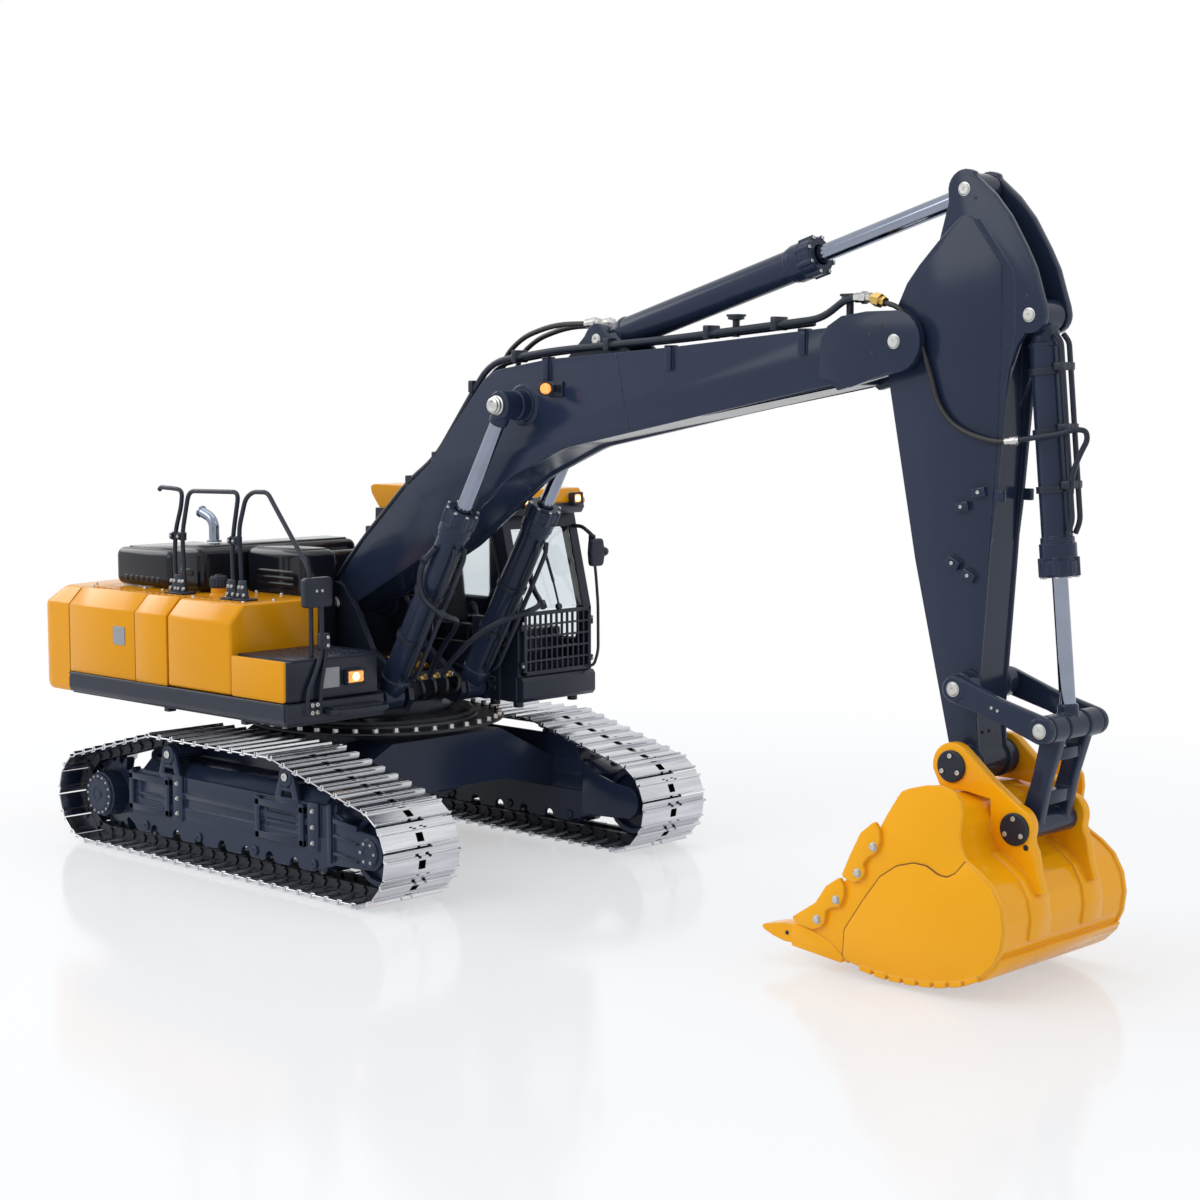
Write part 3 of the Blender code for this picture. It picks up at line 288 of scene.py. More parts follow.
# anodised motor can: grey and satin, brushed along its length
anodisedCan = barMetal("anodisedCan", dict(
    colour="#9a9da3", deep="#85888f", stretch=(0.1, 1.0, 1.0), grainMm=0.5, stainMm=18.0, rough=0.3,
    spread=0.14, edgeMm=0.3, depth=0.15))
# oiled cast iron: dark, grainy and barely shining
castIron = barMetal("castIron", dict(
    colour="#4a4c51", deep="#35373c", stretch=even, grainMm=0.9, stainMm=9.0, rough=0.4, spread=0.2,
    edgeMm=0.3, depth=0.5))


# Plastics, rubber and cover cloth: matt, with a pebbled skin from the mould
def mouldedSkin(name, look):
    made, tree, shader, place = newMaterial(name)
    pebble = addNode(tree, "ShaderNodeTexVoronoi", values={"Scale": perMm(look["pebbleMm"])},
                     links={"Vector": place})
    fade = noise(tree, place, look["fadeMm"], 4.0)
    finishShader(tree, shader, {"IOR": look["ior"], "Specular IOR Level": look["shine"]},
                 {"Base Color": toned(tree, fade, look),
                  "Roughness": ranged(tree, fade, look["rough"], look["rough"] + 0.15),
                  "Normal": bumped(tree, pebble.outputs["Distance"], look["depth"], 0.0002)})
    return made


# extruded hose rubber: black with a soft sheen
hoseRubber = mouldedSkin("hoseRubber", dict(
    colour="#191a1e", deep="#111215", pebbleMm=0.7, fadeMm=12.0, rough=0.34, depth=0.15, ior=1.52,
    shine=0.45))
# seat vinyl: dull, with an embossed grain
seatVinyl = mouldedSkin("seatVinyl", dict(
    colour="#2b2c30", deep="#222327", pebbleMm=1.1, fadeMm=15.0, rough=0.5, depth=0.4, ior=1.5, shine=0.4))
# shrink wrap on the battery: blue film, drawn tight
shrinkWrap = mouldedSkin("shrinkWrap", dict(
    colour="#27416f", deep="#1f345b", pebbleMm=2.4, fadeMm=22.0, rough=0.3, depth=0.1, ior=1.5, shine=0.5))
# painted shade: a dull brown line along the edge of the bucket's wear plates, standing in for the shade
# under the plate's edge
jointSealant = mouldedSkin("jointSealant", dict(
    colour="#7d5210", deep="#64400b", pebbleMm=0.8, fadeMm=9.0, rough=0.5, depth=0.1, ior=1.45, shine=0.3))
# etched nickel plate: the bare plates on door and step box
platePewter = mouldedSkin("platePewter", dict(
    colour="#8d9096", deep="#777a81", pebbleMm=1.0, fadeMm=3.0, rough=0.35, depth=0.3, ior=1.8, shine=0.6))

# Clear acrylic pane: thin, with a breath of dust in the roughness
clearPane, tree, shader, place = newMaterial("clearPane")
finishShader(tree, shader, {"Base Color": hexColour("#eef3f6"), "IOR": 1.49, "Transmission Weight": 1.0},
             {"Roughness": ranged(tree, noise(tree, place, 30.0, 5.0), 0.01, 0.08)})

# Lit lamp: a warm bulb behind a moulded lens, hottest in the middle of each rib cell
warmLens, tree, shader, place = newMaterial("warmLens")
cells = addNode(tree, "ShaderNodeTexVoronoi", values={"Scale": perMm(1.6)},
                links={"Vector": place}).outputs["Distance"]
finishShader(tree, shader, {"Base Color": hexColour("#d9a468"), "Roughness": 0.15,
                            "Emission Color": hexColour("#ff9a38")},
             {"Emission Strength": ranged(tree, cells, 1.5, 0.6, 0.0, 0.7),
              "Normal": bumped(tree, cells, 0.3, 0.0003)})

# Glowing bulb: frosted glass, hot and uneven where the grinding is thinner
hotBulb, tree, shader, place = newMaterial("hotBulb")
frost = noise(tree, place, 0.8, 2.0)
finishShader(tree, shader, {"Base Color": hexColour("#f2dcb4"), "Emission Color": hexColour("#ffd690")},
             {"Emission Strength": ranged(tree, frost, 1.8, 3.6),
              "Normal": bumped(tree, frost, 0.2, 0.0001)})
print("materials made")

# What each slot of the frame is made of; slotOf lists, for each finish made after it, the slot of the part
# it sits on
nodeFinish = {
    "amber_paint": amberEnamel, "bucket_paint": yellowEnamel, "navy_paint": navyEnamel,
    "black_paint": blackPowder, "gloss_black": glossAbs, "polished_steel": polishedShoe,
    "chrome": hardChrome, "cast_iron": castIron, "clear_glass": clearPane, "seat_foam": seatVinyl,
    "lamp_lens": warmLens, "brass": turnedBrass, "motor_can": anodisedCan, "battery_wrap": shrinkWrap}
slotOf = {finish.name: slot for slot, finish in nodeFinish.items()}
slotOf.update(zincPlate="polished_steel", platePewter="polished_steel", hoseRubber="black_paint",
              jointSealant="black_paint", hotBulb="lamp_lens")
for row in frame["record"]["subparts"]:
    node = frame["nodes"][row["node"]]
    node.data.materials.clear()
    node.data.materials.append(nodeFinish[row["material_slot"]])
print("frame parts painted")


# Mesh helpers: each adds one finished solid to a growing mesh
sharpFrom = 28  # degrees between faces from which an edge is bevelled
bendShare, cornerShare = 0.48, 0.49  # most of a leg that a bend or a fillet may take


def meshes(count):
    return [bmesh.new() for n in range(count)]


def meshFrom(name, part):
    data = bpy.data.meshes.new(name)
    part.to_mesh(data)
    part.free()
    return data


def join(target, part):
    bmesh.ops.recalc_face_normals(part, faces=part.faces)
    scratch = meshFrom("scratch", part)
    target.from_mesh(scratch)
    bpy.data.meshes.remove(scratch)


def onPlane(plane, point, depth):
    if plane == "XZ":
        return at(point[0], depth, point[1])
    if plane == "XY":
        return at(point[0], point[1], depth)
    return at(depth, point[0], point[1])


def extruded(corners, lift):
    part = bmesh.new()
    face = part.faces.new([part.verts.new(corner) for corner in corners])
    grown = bmesh.ops.extrude_face_region(part, geom=[face])["geom"]
    bmesh.ops.translate(part, vec=lift, verts=[g for g in grown if isinstance(g, bmesh.types.BMVert)])
    bmesh.ops.recalc_face_normals(part, faces=part.faces)
    return part


def slab(target, outline, low, high, bevel=0.5, rounds=2, plane="XZ"):
    low, high = sorted((low, high))
    lift = onPlane(plane, (0, 0), high) - onPlane(plane, (0, 0), low)
    part = extruded([onPlane(plane, p, low) for p in outline], lift)
    if bevel:
        sharp = [e for e in part.edges if e.calc_face_angle(0.0) > math.radians(sharpFrom)]
        bmesh.ops.bevel(part, geom=sharp, offset=bevel * mm, segments=rounds, profile=0.5, affect="EDGES",
                        clamp_overlap=True)
    join(target, part)


def rect(x0, z0, x1, z1, radius=0.0, steps=3):
    corners = [(x0, z0), (x1, z0), (x1, z1), (x0, z1)]
    return roundOff(corners, radius, steps) if radius else corners


def block(target, low, high, bevel=0.5, rounds=2):
    slab(target, rect(low[0], low[2], high[0], high[2]), low[1], high[1], bevel, rounds)


def lathe(target, profile, start, direction, steps=28):
    # a profile that doesn't come back to its start is closed on the axis
    if profile[0] != profile[-1]:
        first, last = profile[0], profile[-1]
        profile = [(0, first[1])] * (first[0] > 0) + profile + [(0, last[1])] * (last[0] > 0)
    part = bmesh.new()
    rings = []
    for radius, height in profile:
        count = steps if radius > 0 else 1
        turns = [2 * math.pi * n / count for n in range(count)]
        rings.append([part.verts.new((radius * math.cos(a), radius * math.sin(a), height)) for a in turns])
    for a, b in zip(rings, rings[1:]):
        for n in range(steps):
            corners = [a[n % len(a)], a[(n + 1) % len(a)], b[(n + 1) % len(b)], b[n % len(b)]]
            part.faces.new(list(dict.fromkeys(corners)))
    turn = Vector(upward).rotation_difference(Vector(direction)).to_matrix().to_4x4()
    part.transform(Matrix.Translation(start) @ turn @ Matrix.Scale(mm, 4))
    join(target, part)


def curved(a, corner, b, steps):
    # a curve from a to b that leaves and arrives along the lines to the corner
    return [a.lerp(corner, k / steps).lerp(corner.lerp(b, k / steps), k / steps) for k in range(steps + 1)]


def smoothPath(points, bend, steps=5):
    route = [Vector(p) for p in points]
    path = [route[0]]
    for before, corner, after in zip(route, route[1:], route[2:]):
        back, ahead = before - corner, after - corner
        cut = min(bend, bendShare * back.length, bendShare * ahead.length)
        path += curved(corner + back.normalized() * cut, corner, corner + ahead.normalized() * cut, steps)
    path.append(route[-1])
    return path


def tube(target, points, radius, bend=8.0, facets=12):
    path = smoothPath([at(*p) for p in points], bend * mm)
    part = bmesh.new()
    turns = [2 * math.pi * k / facets for k in range(facets)]
    rings = []
    side = None
    for n, spot in enumerate(path):
        along = (path[min(n + 1, len(path) - 1)] - path[max(n - 1, 0)]).normalized()
        side = along.orthogonal() if side is None else side - along * side.dot(along)
        side.normalize()
        up = along.cross(side)
        rings.append([part.verts.new(spot + (side * math.cos(a) + up * math.sin(a)) * radius * mm)
                      for a in turns])
    for a, b in zip(rings, rings[1:]):
        for k in range(facets):
            part.faces.new((a[k], a[(k + 1) % facets], b[(k + 1) % facets], b[k]))
    part.faces.new(rings[0][::-1])
    part.faces.new(rings[-1])
    join(target, part)


def loft(target, rings):
    part = bmesh.new()
    loops = [[part.verts.new(p) for p in ring] for ring in rings]
    count = len(loops[0])
    for a, b in zip(loops, loops[1:]):
        for n in range(count):
            part.faces.new((a[n], a[(n + 1) % count], b[(n + 1) % count], b[n]))
    part.faces.new(loops[0][::-1])
    part.faces.new(loops[-1])
    join(target, part)


def hexBolt(target, place, direction, across, height):
    # washer face, six-sided head with its chamfered crown
    half = across / 2
    lathe(target, [(half * 1.35, 0), (half * 1.35, 0.3)], place, direction, 16)
    lathe(target, [(half * 1.12, 0.2), (half * 1.12, height * 0.8), (half * 0.86, height)], place,
          direction, 6)


def capScrew(target, place, direction, across, height):
    # round head with a socket sunk in it
    half = across / 2
    lathe(target, [(half, 0), (half, height * 0.75), (half * 0.85, height), (half * 0.5, height),
                   (half * 0.45, height * 0.45)], place, direction, 18)


def ringSpots(centre, radius, count, start=0.0):
    turns = [math.radians(start) + 2 * math.pi * n / count for n in range(count)]
    return [(centre[0] + radius * math.cos(a), centre[1] + radius * math.sin(a)) for a in turns]


def arcPoints(centre, radius, first, last, steps):
    turns = [math.radians(first + (last - first) * n / steps) for n in range(steps + 1)]
    return [(centre[0] + radius * math.cos(a), centre[1] + radius * math.sin(a)) for a in turns]


def roundOff(points, radius, steps=3, closed=True):
    # fillets the corners of a flat outline
    count = len(points)
    made = []
    for n, corner in enumerate(points):
        if not closed and n in (0, count - 1):
            made.append(tuple(corner))
            continue
        corner = Vector(corner)
        back, ahead = Vector(points[n - 1]) - corner, Vector(points[(n + 1) % count]) - corner
        reach = radius / max(math.tan(back.angle(ahead) / 2), 0.05)
        cut = min(reach, cornerShare * back.length, cornerShare * ahead.length)
        start, end = corner + back.normalized() * cut, corner + ahead.normalized() * cut
        made += [tuple(p) for p in curved(start, corner, end, steps)]
    return made


def newPiece(name, part, finish, body, *nodes, slotName=None, sharp=32.0):
    data = meshFrom(name, part)
    data.shade_smooth()
    data.set_sharp_from_angle(angle=math.radians(sharp))
    data.materials.append(finish)
    made = addObject(name, data)
    if isinstance(body, tuple):
        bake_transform(made)
    else:
        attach(made, body)
    if nodes:
        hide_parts(*nodes)
    return made


# Crawler tracks: flat shoes with two bars, a square clearing hole and notches, on paired links with pins
trackSize = dict(middle=108.0, shoes=56, width=58.0, rail=6.0, plate=0.9, bar=1.8, wheelX=137.0, wheelZ=31.0,
                 wheelR=22.0, carrierX=60.0, carrierZ=67.2, carrierR=5.8, hole=5.4, notch=2.6,
                 notchY=3.9, gap=0.35)
t = trackSize


def beltRuns():
    wheels = [((t["wheelX"], t["wheelZ"]), t["wheelR"]), ((t["carrierX"], t["carrierZ"]), t["carrierR"]),
              ((-t["carrierX"], t["carrierZ"]), t["carrierR"]), ((-t["wheelX"], t["wheelZ"]), t["wheelR"])]
    normals = []
    for (a, aR), (b, bR) in zip(wheels, wheels[1:] + wheels[:1]):
        run = Vector(b) - Vector(a)
        along = run.normalized()
        lean = (aR - bR) / run.length
        normals.append(lean * along + math.sqrt(1 - lean ** 2) * Vector((along.y, -along.x)))
    runs = []
    for n, (centre, radius) in enumerate(wheels):
        first = math.atan2(normals[n - 1].y, normals[n - 1].x)
        turn = (math.atan2(normals[n].y, normals[n].x) - first) % (2 * math.pi)
        runs.append(("arc", Vector(centre), radius, first, turn, radius * turn))
        after, afterR = wheels[(n + 1) % len(wheels)]
        start, end = Vector(centre) + normals[n] * radius, Vector(after) + normals[n] * afterR
        runs.append(("line", start, end, normals[n], 0.0, (end - start).length))
    return runs


belt = beltRuns()
beltLength = sum(run[-1] for run in belt)
pitch = beltLength / t["shoes"]


def beltSpot(distance):
    # point on the inside of the rails, and the direction out of the loop there
    distance %= beltLength
    for kind, a, b, c, turn, length in belt:
        if distance <= length:
            break
        distance -= length
    if kind == "line":
        return a.lerp(b, distance / length), c
    angle = c + turn * distance / length
    out = Vector((math.cos(angle), math.sin(angle)))
    return a + out * b, out


def shoeMesh():
    # one shoe in its own frame: x along the belt, y across, z out of the loop, in millimetres
    low, top, crest = t["rail"], t["rail"] + t["plate"], t["rail"] + t["plate"] + t["bar"]
    half, reach = t["width"] / 2, pitch / 2 - t["gap"]
    # each shoe's lip runs under the next one, so the belt stays closed where it bends
    lip = [(reach - 1.6, low), (reach - 0.6, low - 1.0), (reach + 3.6, low - 1.0), (reach + 3.6, low - 0.2),
           (reach, low - 0.2)]
    bars = [(reach, crest - 0.3), (reach - 0.3, crest), (reach - 1.3, crest), (reach - 1.7, top),
            (1.1 - reach, top), (0.9 - reach, crest - 0.35), (0.1 - reach, crest - 0.35), (-reach, top)]
    shoe = extruded([(x, -half, z) for x, z in [(-reach, low)] + lip + bars], (0, 2 * half, 0))
    ends = [e for e in shoe.edges if all(abs(abs(v.co.y) - half) < 1e-6 for v in e.verts)]
    bmesh.ops.bevel(shoe, geom=ends, offset=0.25, segments=1, affect="EDGES", clamp_overlap=True)
    cuts = bmesh.new()
    holes = [(0.0, 0.0, t["hole"], t["hole"])]
    holes += [(x, y, long, t["notch"]) for x, long in ((reach, 2.0), (-reach, 1.6))
              for y in (t["notchY"], -t["notchY"])]
    for x, y, long, wide in holes:
        size = Matrix.Diagonal((long, wide, 12.0, 1.0))
        bmesh.ops.create_cube(cuts, size=1.0, matrix=Matrix.Translation((x, y, 8.0)) @ size)
    solid = addObject("shoe", meshFrom("shoe", shoe))
    cutter = addObject("shoeHoles", meshFrom("shoeHoles", cuts))
    drill = solid.modifiers.new("holes", "BOOLEAN")
    drill.operation = "DIFFERENCE"
    drill.solver = "EXACT"
    drill.object = cutter
    done = bpy.data.meshes.new_from_object(solid.evaluated_get(bpy.context.evaluated_depsgraph_get()))
    for made in (solid, cutter):
        bpy.data.objects.remove(made)
    return done


def linkMesh():
    # a pair of link plates with the pin ends that show inside the loop
    link = bmesh.new()
    end = pitch / 2 + 1.6
    plate = roundOff([(-end, 0.3), (end, 0.3), (end, 5.2), (2.2, 5.9), (-2.2, 5.9), (-end, 5.2)], 1.8)
    for y in (-8.6, 4.8):
        join(link, extruded([(x, y, z) for x, z in plate], (0, 3.8, 0)))
    for y in (-10.0, 8.6):
        # lathe scales to metres and this mesh is in millimetres, so its profile is in thousandths
        lathe(link, [(1500, 0), (1700, 300), (1700, 1100), (1500, 1400)], Vector((pitch / 2, y, 2.9)),
              leftward, 10)
    return meshFrom("link", link)


shoe, link = shoeMesh(), linkMesh()
for label, side in sides:
    chain, rails = meshes(2)
    for n in range(t["shoes"]):
        spot, out = beltSpot((n + 0.5) * pitch)
        along = Vector((-out.y, 0, out.x))
        up = Vector((out.x, 0, out.y))
        turn = Matrix((along, up.cross(along), up)).transposed().to_4x4()
        place = Matrix.Translation(at(spot.x, side * t["middle"], spot.y)) @ turn @ Matrix.Scale(mm, 4)
        for target, source in ((chain, shoe), (rails, link)):
            before = len(target.verts)
            target.from_mesh(source)
            target.verts.ensure_lookup_table()
            bmesh.ops.transform(target, matrix=place, verts=target.verts[before:])
    newPiece(f"{label}Shoes", chain, polishedShoe, "undercarriage", f"{label}_track", sharp=25.0)
    newPiece(f"{label}Links", rails, castIron, "undercarriage", slotName="polished_steel")
bpy.data.meshes.remove(shoe)
bpy.data.meshes.remove(link)
print("tracks laid")


# Counterweight: one casting with a bowed back, soft upright corners and a sloping shoulder all round
weightSize = dict(front=-163.3, side=-196.0, bulge=18.0, half=128.0, low=97.0, shoulder=156.0, top=167.0,
                  shoulderIn=11.0, corner=12.0)
w = weightSize


def weightRing(inset, z):
    half, corner = w["half"] - inset, w["corner"] - 0.4 * inset
    flat = [(w["front"], -half), (w["front"], half)]
    for n in range(13):
        share = 1 - n / 6
        flat.append((w["side"] - w["bulge"] * (1 - share ** 2) + inset, half * share))
    shaped = []
    for n, p in enumerate(flat):
        if n in (2, len(flat) - 1):
            p = Vector(p)
            back, ahead = Vector(flat[n - 1]) - p, Vector(flat[(n + 1) % len(flat)]) - p
            shaped += curved(p + back.normalized() * corner, p, p + ahead.normalized() * corner, 6)
        else:
            shaped.append(p)
    return [at(x, y, z) for x, y in shaped]


weight = bmesh.new()
profile = [(5.0, w["low"]), (1.6, w["low"] + 0.9), (0.4, w["low"] + 3.0), (0.0, w["low"] + 6.0),
           (0.0, w["shoulder"] - 1.5), (0.5, w["shoulder"] + 0.6), (w["shoulderIn"] - 1.6, w["top"] - 1.3),
           (w["shoulderIn"] + 0.4, w["top"] - 0.2), (w["shoulderIn"] + 2.5, w["top"])]
loft(weight, [weightRing(inset, z) for inset, z in profile])
newPiece("counterweightCasting", weight, amberEnamel, "upper", "counterweight", sharp=28.0)

# Side doors: folded steel with open seams between the panels; the hydraulic tank block ends the right row
panelSize = dict(half=128.0, low=111.3, shoulder=156.0, top=167.0, shoulderIn=11.0, skin=3.0,
                 inner=59.3, seam=0.4, fold=0.5, slack=1.3)
p = panelSize


def panelSection(side, solid=None):
    outer = [(p["half"], p["low"]), (p["half"], p["shoulder"]), (p["half"] - p["shoulderIn"], p["top"])]
    inside = p["top"] - p["skin"]
    rest = [(p["inner"], p["top"]), (p["inner"], inside), (p["half"] - p["shoulderIn"] - p["slack"], inside),
            (p["half"] - p["skin"], p["shoulder"] - p["slack"]), (p["half"] - p["skin"], p["low"])]
    if solid:
        rest = [(solid, p["top"]), (solid, p["low"])]
    return [(side * y, z) for y, z in outer + rest]


for name, side, edges, node in (("rightDoors", -1, (-163.0, -88.0, -53.3), "right_doors"),
                                ("leftDoors", 1, (-163.0, -112.0, -62.6), "left_door")):
    doors = bmesh.new()
    for first, last in zip(edges, edges[1:]):
        slab(doors, panelSection(side), first + p["seam"], last - p["seam"], p["fold"], plane="YZ")
    newPiece(name, doors, amberEnamel, "upper", node)
tank, cap = meshes(2)
filler = (-46, -92)
slab(tank, panelSection(-1, 58.0), -52.6, 13.0, 2.2, 3, "YZ")
lathe(tank, [(6.2, 0), (5.6, 1.2), (5.0, 1.6), (5.0, 5.0)], at(*filler, 167), upward)
newPiece("tankBlock", tank, amberEnamel, "upper", "hydraulic_tank")
lathe(cap, [(5.2, 0), (5.4, 0.6), (5.4, 6.6), (4.8, 7.6), (2.4, 7.8), (2.2, 8.6)],
      at(*filler, 172.0), upward)
for spot in ringSpots(filler, 5.4, 16):
    lathe(cap, [(0.5, 0), (0.5, 6.0)], at(*spot, 172.3), upward, 6)
newPiece("fillerCap", cap, blackPowder, "upper")

# Top deck: cover sheet with raised hatch, walkway strips and small screws
deckTop, treads, deckScrews = meshes(3)
block(deckTop, (-163.0, -59.0, 164.0), (-62.6, 59.0, 167.0), 0.6)
for x in (-150, -74):
    block(deckTop, (x - 3, -3, 111.6), (x + 3, 3, 164.6), 0.4)
block(deckTop, (-150, 44, 166.6), (-80, 57, 168.4), 0.7)
newPiece("topSheet", deckTop, amberEnamel, "upper", "top_cover")
for x in range(-156, 8, 7):
    block(treads, (x, -113.5, 166.9), (x + 4.6, -99.5, 167.5), 0.25, 1)
newPiece("walkwayTread", treads, amberEnamel, "upper")
for spot in ((-158, -62), (-158, -112), (-120, -97), (-100, -97), (-84, -62), (-46, -62),
             (-20, -62), (6, -62), (6, -112), (-46, -112), (-30, -98), (8, -90), (-158, 62), (-158, 112),
             (-112, 112), (-70, 112), (-70, 62), (-190, -60), (-190, 60), (-190, 0), (-172, -100),
             (-172, 100)):
    capScrew(deckScrews, at(*spot, 166.9), upward, 2.4, 1.2)
newPiece("deckScrews", deckScrews, zincPlate, "upper")

# Engine hood: glossy mouldings with soft shoulders, shut lines between them, louvres and a finger recess
hoodSize = dict(soft=5.5, seat=167.4, lid=0.7)
seat = hoodSize["seat"]
hood = bmesh.new()
for low, high in (((-162, -92, seat), (-98, -24, 192.5)), ((-97.4, -91.4, seat), (-65, 40, 196.0)),
                  ((-64.4, -57, 111.4), (-3, -28.5, 195.4)), ((-64.4, -27.5, seat), (-50, 38, 190.0))):
    block(hood, low, high, hoodSize["soft"], 5)
for low, high in (((-155, -85, 192.0), (-104, -31, 193.4)), ((-93, -85, 195.6), (-70, 34, 197.0)),
                  ((-58, -52, 195.0), (-9, -33, 196.2))):
    block(hood, low, high, hoodSize["lid"])
for x in range(-150, -112, 6):
    block(hood, (x, -92.4, 171.0), (x + 3.2, -91.4, 174.4), 0.3, 1)
block(hood, (-88, -92.0, 178), (-74, -90.8, 182))
for z in (172, 176, 180):
    block(hood, (-52, -57.6, z), (-14, -56.6, z + 1.8), 0.4, 1)
newPiece("engineHood", hood, glossAbs, "upper", "engine_hood")
pipe = bmesh.new()
tube(pipe, [(-96, -58, 197.2), (-96, -58, 209), (-99, -58.6, 213.5), (-107, -60, 217)], 3.5, 8.0, 20)
lathe(pipe, [(3.3, 0), (4.1, 0.2), (4.1, 1.4), (3.3, 1.6), (3.3, 0)], at(-106.4, -59.9, 216.7),
      (-0.9, -0.15, 0.4), 20)
lathe(pipe, [(3.4, 0), (5.0, 0), (5.0, 1.2), (3.4, 1.4), (3.4, 0)], at(-96, -58, 197.2), upward, 20)
newPiece("exhaustPipe", pipe, hardChrome, "upper", "exhaust")

# Handrails: bent steel tube cranked at mid height, on gusset feet, clamped with split collars
railLook = dict(y=-104.0, radius=1.45, seat=167.3)
r = railLook


def railTube(target, spots, bend):
    # spots are X and Z, with a third number where the tube leaves the rail's plane
    tube(target, [(x, r["y"] + sum(aside), z) for x, z, *aside in spots], r["radius"], bend, 14)


def railFoot(target, x, wide):
    slab(target, [(x - wide, r["seat"]), (x + wide, r["seat"]), (x + 3.4, 180), (x - 3.4, 180)],
         r["y"] - 2.6, r["y"] - 0.6, 0.6)
    slab(target, rect(x - wide - 1, r["seat"], x + wide + 1, 168.7), r["y"] - 6, r["y"] + 5, 0.4)


def railCollar(target, x, z=202):
    lathe(target, [(1.4, 0), (2.5, 0), (2.5, 5), (1.4, 5), (1.4, 0)], at(x, r["y"], z), (0.05, 0, 1), 16)
    block(target, (x - 1.4, r["y"] - 3.8, z + 0.6), (x + 1.4, r["y"] - 1.6, z + 4.4), 0.4)


rails = bmesh.new()
railTube(rails, [(-75, r["seat"]), (-76, 193), (-74.7, 207.8), (-68, 224), (-66.6, 234), (-76, 234.9),
                 (-90, 235.2), (-91.6, 233.4)], 6.0)
railTube(rails, [(-65.5, r["seat"]), (-67, 194), (-67.3, 207), (-59.6, 233.8), (-7.4, 234.8), (-13.6, 209),
                 (-15, 196), (-14, r["seat"])], 6.0)
railFoot(rails, -70.2, 9.0)
railFoot(rails, -14, 6.0)
for x in (-75.2, -67.2, -13.9):
    railCollar(rails, x)
block(rails, (-76, r["y"] - 1.2, 203), (-66.6, r["y"] + 1.2, 206))
newPiece("rearHandrail", rails, blackPowder, "upper", "rear_handrail")
rails = bmesh.new()
railTube(rails, [(-9.4, r["seat"], 3), (-9.6, 199, 2), (-7.9, 212), (-0.6, 231), (6.7, 235.4), (21.5, 235.6),
                 (27, 229), (48, 205), (62, 189), (62, 137.3)], 7.0)
railFoot(rails, -3.0, 6.0)
railCollar(rails, -9.0)
newPiece("frontHandrail", rails, blackPowder, "upper", "front_handrail")
railScrews = bmesh.new()
for x, wide in ((-74.5, 2.6), (-66, 2.6), (-14, 2.8), (-3, 2.8)):
    for dx, z in ((-wide, 171.0), (wide, 171.0), (-wide * 0.6, 175.8), (wide * 0.6, 175.8)):
        capScrew(railScrews, at(x + dx, r["y"] - 2.5, z), (0, -1, 0), 2.4, 1.2)
for x in (-75.2, -67.2, -13.9, -9.0):
    capScrew(railScrews, at(x, r["y"] - 3.7, 204.4), (0, -1, 0), 1.8, 0.9)
newPiece("railScrews", railScrews, zincPlate, "upper")

# Step box: amber side, black tread top and front with its lamp and a bare plate
step, stepSide, plates = meshes(3)
block(step, (13.4, -126.4, 111.4), (66.0, -55.0, 136.2), 1.4, 3)
block(step, (12.0, -122.0, 135.8), (66.2, -56.0, 137.2))
for x in range(18, 62, 5):
    for y in range(-116, -60, 7):
        block(step, (x, y, 137.0), (x + 2.6, y + 1.2, 137.5), 0.2, 1)
newPiece("stepBox", step, blackPowder, "upper", "step_box")
slab(stepSide, roundOff([(14.0, 111.6), (65.0, 111.6), (65.4, 136.6), (14.0, 136.6)], 1.4), -128.0,
     -126.2, 0.6)
newPiece("stepSide", stepSide, amberEnamel, "upper")
slab(plates, rect(-99.5, 118, -86, 130.5, 1.0), 65.9, 66.6, 0.2, 1, "YZ")
slab(plates, rect(-111.5, 133.5, -98.5, 145.5, 1.2), -128.6, -127.9, 0.2, 1)
newPiece("barePlates", plates, platePewter, "upper")


def workLamp(name, place, direction, wide, tall, body, *nodes):
    # box housing with a raised bezel, and a warm lens with a bulb dome set in it
    turn = Vector(forward).rotation_difference(Vector(direction)).to_matrix().to_4x4()
    move = Matrix.Translation(at(*place)) @ turn @ Matrix.Translation(-at(0, 0, 0))
    shell, lens, bulb = meshes(3)
    y, z, rim, inset = wide / 2, tall / 2, 1.2, 1.4
    block(shell, (-4.5, -y, -z), (-0.4, y, z), 0.9, 3)
    for y0, z0, y1, z1 in ((-y, -z, rim - y, z), (y - rim, -z, y, z), (-y, z - rim, y, z),
                           (-y, -z, y, rim - z)):
        block(shell, (-0.6, y0, z0), (1.1, y1, z1), 0.3, 1)
    slab(lens, rect(inset - y, inset - z, y - inset, z - inset, 1.0), -0.5, 0.3, 0.25, 1, "YZ")
    lathe(bulb, [(z * 0.6, 0.1), (z * 0.5, 0.8), (z * 0.25, 1.2), (0, 1.3)], at(0, 0, 0), forward, 20)
    for part in (shell, lens, bulb):
        part.transform(move)
    newPiece(name + "Shell", shell, blackPowder, body)
    newPiece(name + "Lens", lens, warmLens, body, *nodes)
    newPiece(name + "Bulb", bulb, hotBulb, body)


workLamp("stepLamp", (68.6, -75, 123.4), forward, 15.0, 9.6, "upper", "step_lamp")
bar = bmesh.new()
slab(bar, roundOff([(66.1, -101), (80, -101), (81, -58), (66.1, -52)], 6.0, 6), 102.5, 106.0, 1.0, 3, "XY")
slab(bar, roundOff([(66.1, -98), (77, -98), (77.5, -60), (66.1, -56)], 4.0, 5), 106.0, 107.0, 0.3, 1, "XY")
newPiece("footStep", bar, blackPowder, "upper")

